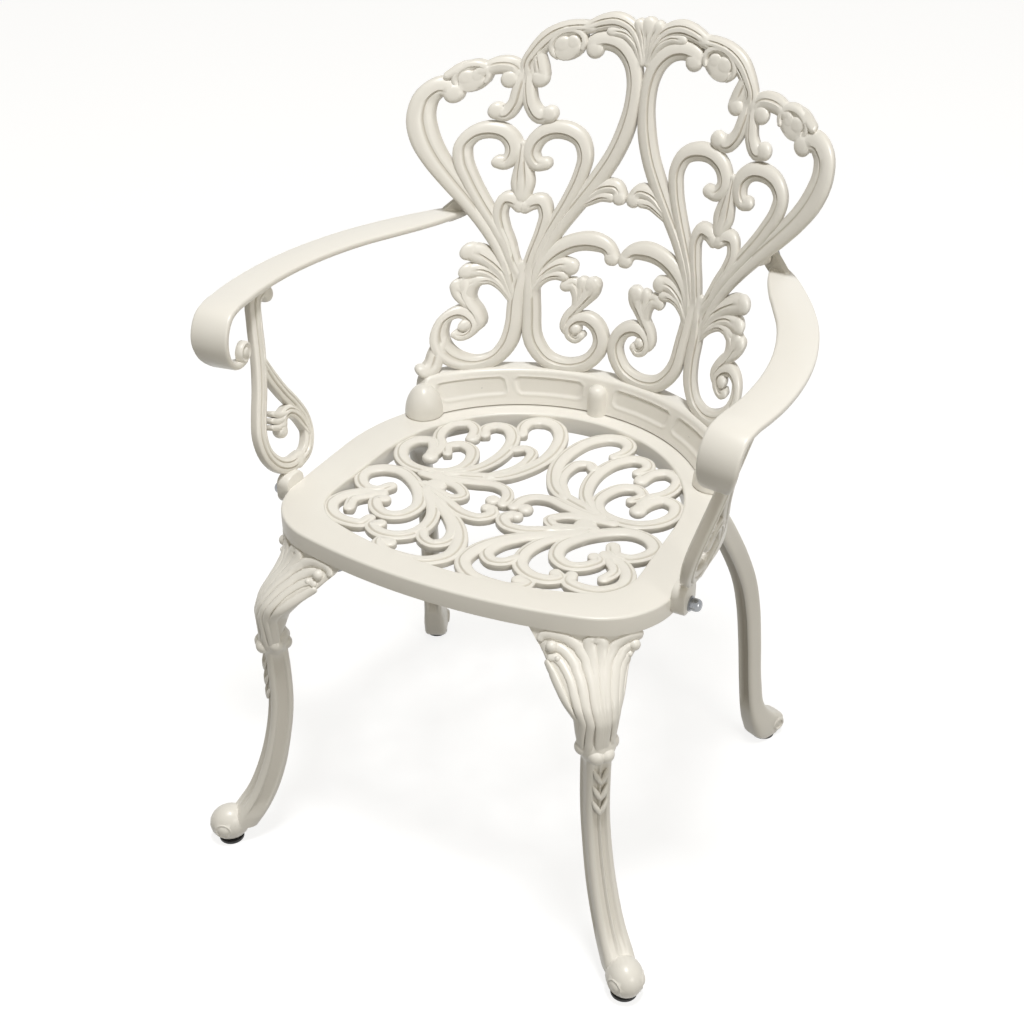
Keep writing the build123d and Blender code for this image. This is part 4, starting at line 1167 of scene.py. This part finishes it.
def husk(s, level, way, face, side):
    # half of a husk on the front of the shank
    along, aside = s["huskAt"]
    reach, half = s["huskReach"], s["huskHalf"]
    start = legSpot(s, along - 1.0, aside + way * half, level + reach)
    end = legSpot(s, along + 1.8, aside, level - reach)
    middle = (start + end) / 2 + face * 1.5
    turns = [2 * pi * k / 10 for k in range(10)]
    rings = []
    for t, width in s["huskLine"]:
        spot = start * (1 - t) ** 2 + middle * 2 * t * (1 - t) + end * t * t
        rings.append([spot + side * width * cos(a) + face * width * 0.8 * sin(a) for a in turns])
    return placed(sweep(rings), toMetres)


def toeParts(s, face, side):
    # the ball foot and the rimmed eye in each of its sides
    toe = legSpot(s, *s["toe"])
    long, wide, _ = s["toeSize"]
    bulb = moved(knob((0, 0, 0), 1), s["toeSize"], Matrix.Rotation(atan2(face.y, face.x), 3, "Z"), toe * mm)
    r, deep = s["eyeRadius"], s["eyeDeep"]
    eye = [(r * q, lift - (r * q) ** 2 / (2 * wide)) for q, lift in s["eye"]] + [(r, -deep), (0, -deep)]
    c, n = cos(radians(s["eyeTurn"])), sin(radians(s["eyeTurn"]))
    parts = [bulb]
    for way in (-1, 1):
        spot = toe + face * (long * c) + side * (way * wide * n)
        parts.append(turned(eye, spot, face * (c / long) + side * (way * n / wide), 36))
    return parts


def makeFrontLeg(s):
    hx, hy = s["heading"]
    face, side = Vector((hx, hy, 0)), Vector((hy, -hx, 0))

    def shankShape(angle, height):
        # a sunk panel on each side and a ridge down the front, with painted shade in the panels
        fade = between(height, s["shankFade"])
        panel = soft((s["panelHalf"] - abs((angle + 45) % 90 - 45)) / s["panelSlope"])
        off = abs((angle + 180) % 360 - 180) / s["ridgeHalf"]
        middle = 0.5 + 0.5 * cos(pi * off) if off < 1 else 0.0
        change = s["shankRidge"] * middle - s["shankPanel"] * panel
        return fade * change, fade * s["shankShade"] * panel * (1 - middle)

    shells = [kneeBody(s), legRings(s, s["shank"], 8, 96, 3.6, shankShape)]
    # the collar is painted a little darker all round
    shells.append(legRings(s, s["collar"], 5, 40, 2.0, lambda angle, height: (0, 0.1)))
    for way in (-1, 1):
        for points in (*s["leaves"], s["drops"]):
            shells.append(ridge(s, [(s["kneeTurn"] + way * a, z, half) for a, z, half in points]))
        for angle, height, radius in s["kneeBalls"]:
            shells.append(knob(kneeAt(s, s["kneeTurn"] + way * angle, height)[0], radius))
        (along, aside), (deep, wide) = s["collarAt"], s["collarReach"]
        for angle, height, radius in s["collarBalls"]:
            turn = radians(way * angle)
            shells.append(knob(legSpot(s, along + deep * cos(turn), aside + wide * sin(turn), height), radius))
        shells += [husk(s, level, way, face, side) for level in s["husks"]]
    shells += toeParts(s, face, side) + earPlates(s)
    finishPair("frontRightLeg", "frontLeftLeg", "front_right_leg", shells, [soleCut(s["sole"])])


makeFrontLeg(frontLeg)

rearLeg = {
    "foot": (253.08, 227.94), "heading": (0.4, 0.917),
    "sections": (
        (-143, 0, 408, 31, 28), (-118, 0, 369, 30, 26), (-92, 0, 324, 28, 25), (-69, 0, 273, 26, 24),
        (-58, 0, 232, 25, 24), (-48.5, 0, 174, 24, 24), (-39.5, 0, 106, 24, 24), (-30, 0, 61, 28, 26),
        (-17, 0, 38, 42, 30), (-5, 0, 24, 56, 32), (-3, 0, 12, 50, 32), (-3, 0, 4, 32, 30),
    ),
    "channel": 6.0, "channelHalf": 34.0, "channelSlope": 7.0, "channelFade": (385.0, 15.0, 60.0, 20.0),
    # turned scroll across the foot: radius as a share, how far in from its side
    "volute": (9.0, 0.0, 18.5), "voluteRadius": 14.0, "voluteHalf": 17.5, "voluteSide": (
        (0, 2.5), (0.36, 2.5), (0.44, 1.2), (0.5, 0), (0.6, 0.2), (0.72, 1.8), (0.86, 5), (0.96, 9.5),
    ),
    "ears": ((176.5, 119.1), (201.6, 68.7)), "top": (195.9, 96.8), "sole": 4.0,
}


def makeRearLeg(s):
    def sabre(angle, height):
        # a channel down the inner face, with painted shade in it
        channel = between(height, s["channelFade"]) * soft((s["channelHalf"] - abs(angle - 180)) / s["channelSlope"])
        return -s["channel"] * channel, channel

    hx, hy = s["heading"]
    r, half = s["voluteRadius"], s["voluteHalf"]
    outer = [(r * share, half - fall) for share, fall in s["voluteSide"]]
    outline = outer + [(r, 3), (r, -3)] + [(radius, -z) for radius, z in reversed(outer)]
    shells = [legRings(s, s["sections"], 6, 120, 4.5, sabre)]
    shells.append(turned(outline, legSpot(s, *s["volute"]), (hy, -hx, 0), 36))
    shells += earPlates(s)
    finishPair("rearRightLeg", "rearLeftLeg", "rear_right_leg", shells, [soleCut(s["sole"])])


makeRearLeg(rearLeg)


# Feet and fasteners


def dressNode(name, material):
    node = frame["nodes"][name]
    node.data.materials.clear()
    node.data.materials.append(material)


for name in ("front_left_glide", "front_right_glide", "rear_left_glide", "rear_right_glide"):
    dressNode(name, nylon)
for joint in ("leg", "back", "arm_seat", "arm_back"):
    dressNode(joint + "_bolts", steel)
    dressNode(joint + "_washers", steel)
print("feet and fasteners dressed")


# Studio


studio = {
    "target": (-33.97, 20.05, 365.59), "distance": 1810.55, "azimuth": 27.34, "elevation": 31.6,
    "lens": 52.96, "sensor": 36.0,
    "floorSize": 8.0, "floorColour": (0.3, 0.3, 0.3), "floorGlow": 0.82,
    "floorSet": {"Roughness": 0.9, "Specular IOR Level": 0.1, "Emission Strength": 1},
    "roomColour": (1.0, 0.915, 0.71), "roomLight": 0.28,
    "lamps": (
        ("key", (0.6, -0.8, 5.0), (0, 0, 0.45), 1.0, 159, (0.985, 0.99, 1.0)),
        ("side", (3.4, -1.6, 1.7), (0, 0, 0.4), 1.2, 33, (1.0, 0.97, 0.91)),
    ),
}


def makeCamera(s):
    a, e = radians(s["azimuth"]), radians(s["elevation"])
    away = Vector((sin(a) * cos(e), -cos(a) * cos(e), sin(e)))
    camera = bpy.data.objects.new("camera", bpy.data.cameras.new("camera"))
    bpy.context.scene.collection.objects.link(camera)
    camera.location = (Vector(s["target"]) + away * s["distance"]) * mm
    camera.rotation_euler = (-away).to_track_quat("-Z", "Y").to_euler()
    camera.data.lens, camera.data.sensor_width = s["lens"], s["sensor"]
    bpy.context.scene.camera = camera


def makeLamp(name, place, aim, size, power, colour):
    lamp = bpy.data.objects.new(name, bpy.data.lights.new(name, "AREA"))
    lamp.data.shape, lamp.data.size, lamp.data.energy, lamp.data.color = "DISK", size, power, colour
    lamp.location = place
    lamp.rotation_euler = (Vector(aim) - Vector(place)).to_track_quat("-Z", "Y").to_euler()
    bpy.context.scene.collection.objects.link(lamp)


def cameraSees(tools):
    # 1 where the camera looks straight at it or sees it in something shiny or clear
    seen = [tools.node("ShaderNodeLightPath", {}, {}, f"Is {ray} Ray") for ray in ("Camera", "Glossy", "Transmission")]
    return tools.node("ShaderNodeMath", {"operation": "ADD", "use_clamp": True}, {0: seen[0] + seen[1], 1: seen[2]})


def makeFloor(s):
    bm = bmesh.new()
    bmesh.ops.create_grid(bm, x_segments=4, y_segments=4, size=s["floorSize"])
    floor = objectFrom("floor", bm)
    bpy.context.scene.collection.objects.link(floor)
    material, tools, shader = newFinish("paleFloor")
    shader.inputs["Base Color"].default_value = (*s["floorColour"], 1)
    for name, value in s["floorSet"].items():
        shader.inputs[name].default_value = value
    feed(shader, "Emission Color", cameraSees(tools) * s["floorGlow"])
    floor.data.materials.append(material)


def makeRoom(s):
    # white to the camera, a dim warm light to the chair
    world = bpy.data.worlds.new("room")
    bpy.context.scene.world = world
    world.use_nodes = True
    tools = Shade(world.node_tree, None)
    back = world.node_tree.nodes["Background"]
    seen = cameraSees(tools)
    feed(back, "Color", mixed(tools, seen, s["roomColour"], (1, 1, 1)))
    feed(back, "Strength", seen * (1 - s["roomLight"]) + s["roomLight"])


makeCamera(studio)
makeFloor(studio)
makeRoom(studio)
for lamp in studio["lamps"]:
    makeLamp(*lamp)
bpy.context.scene.view_settings.view_transform = "Standard"
print("studio ready")
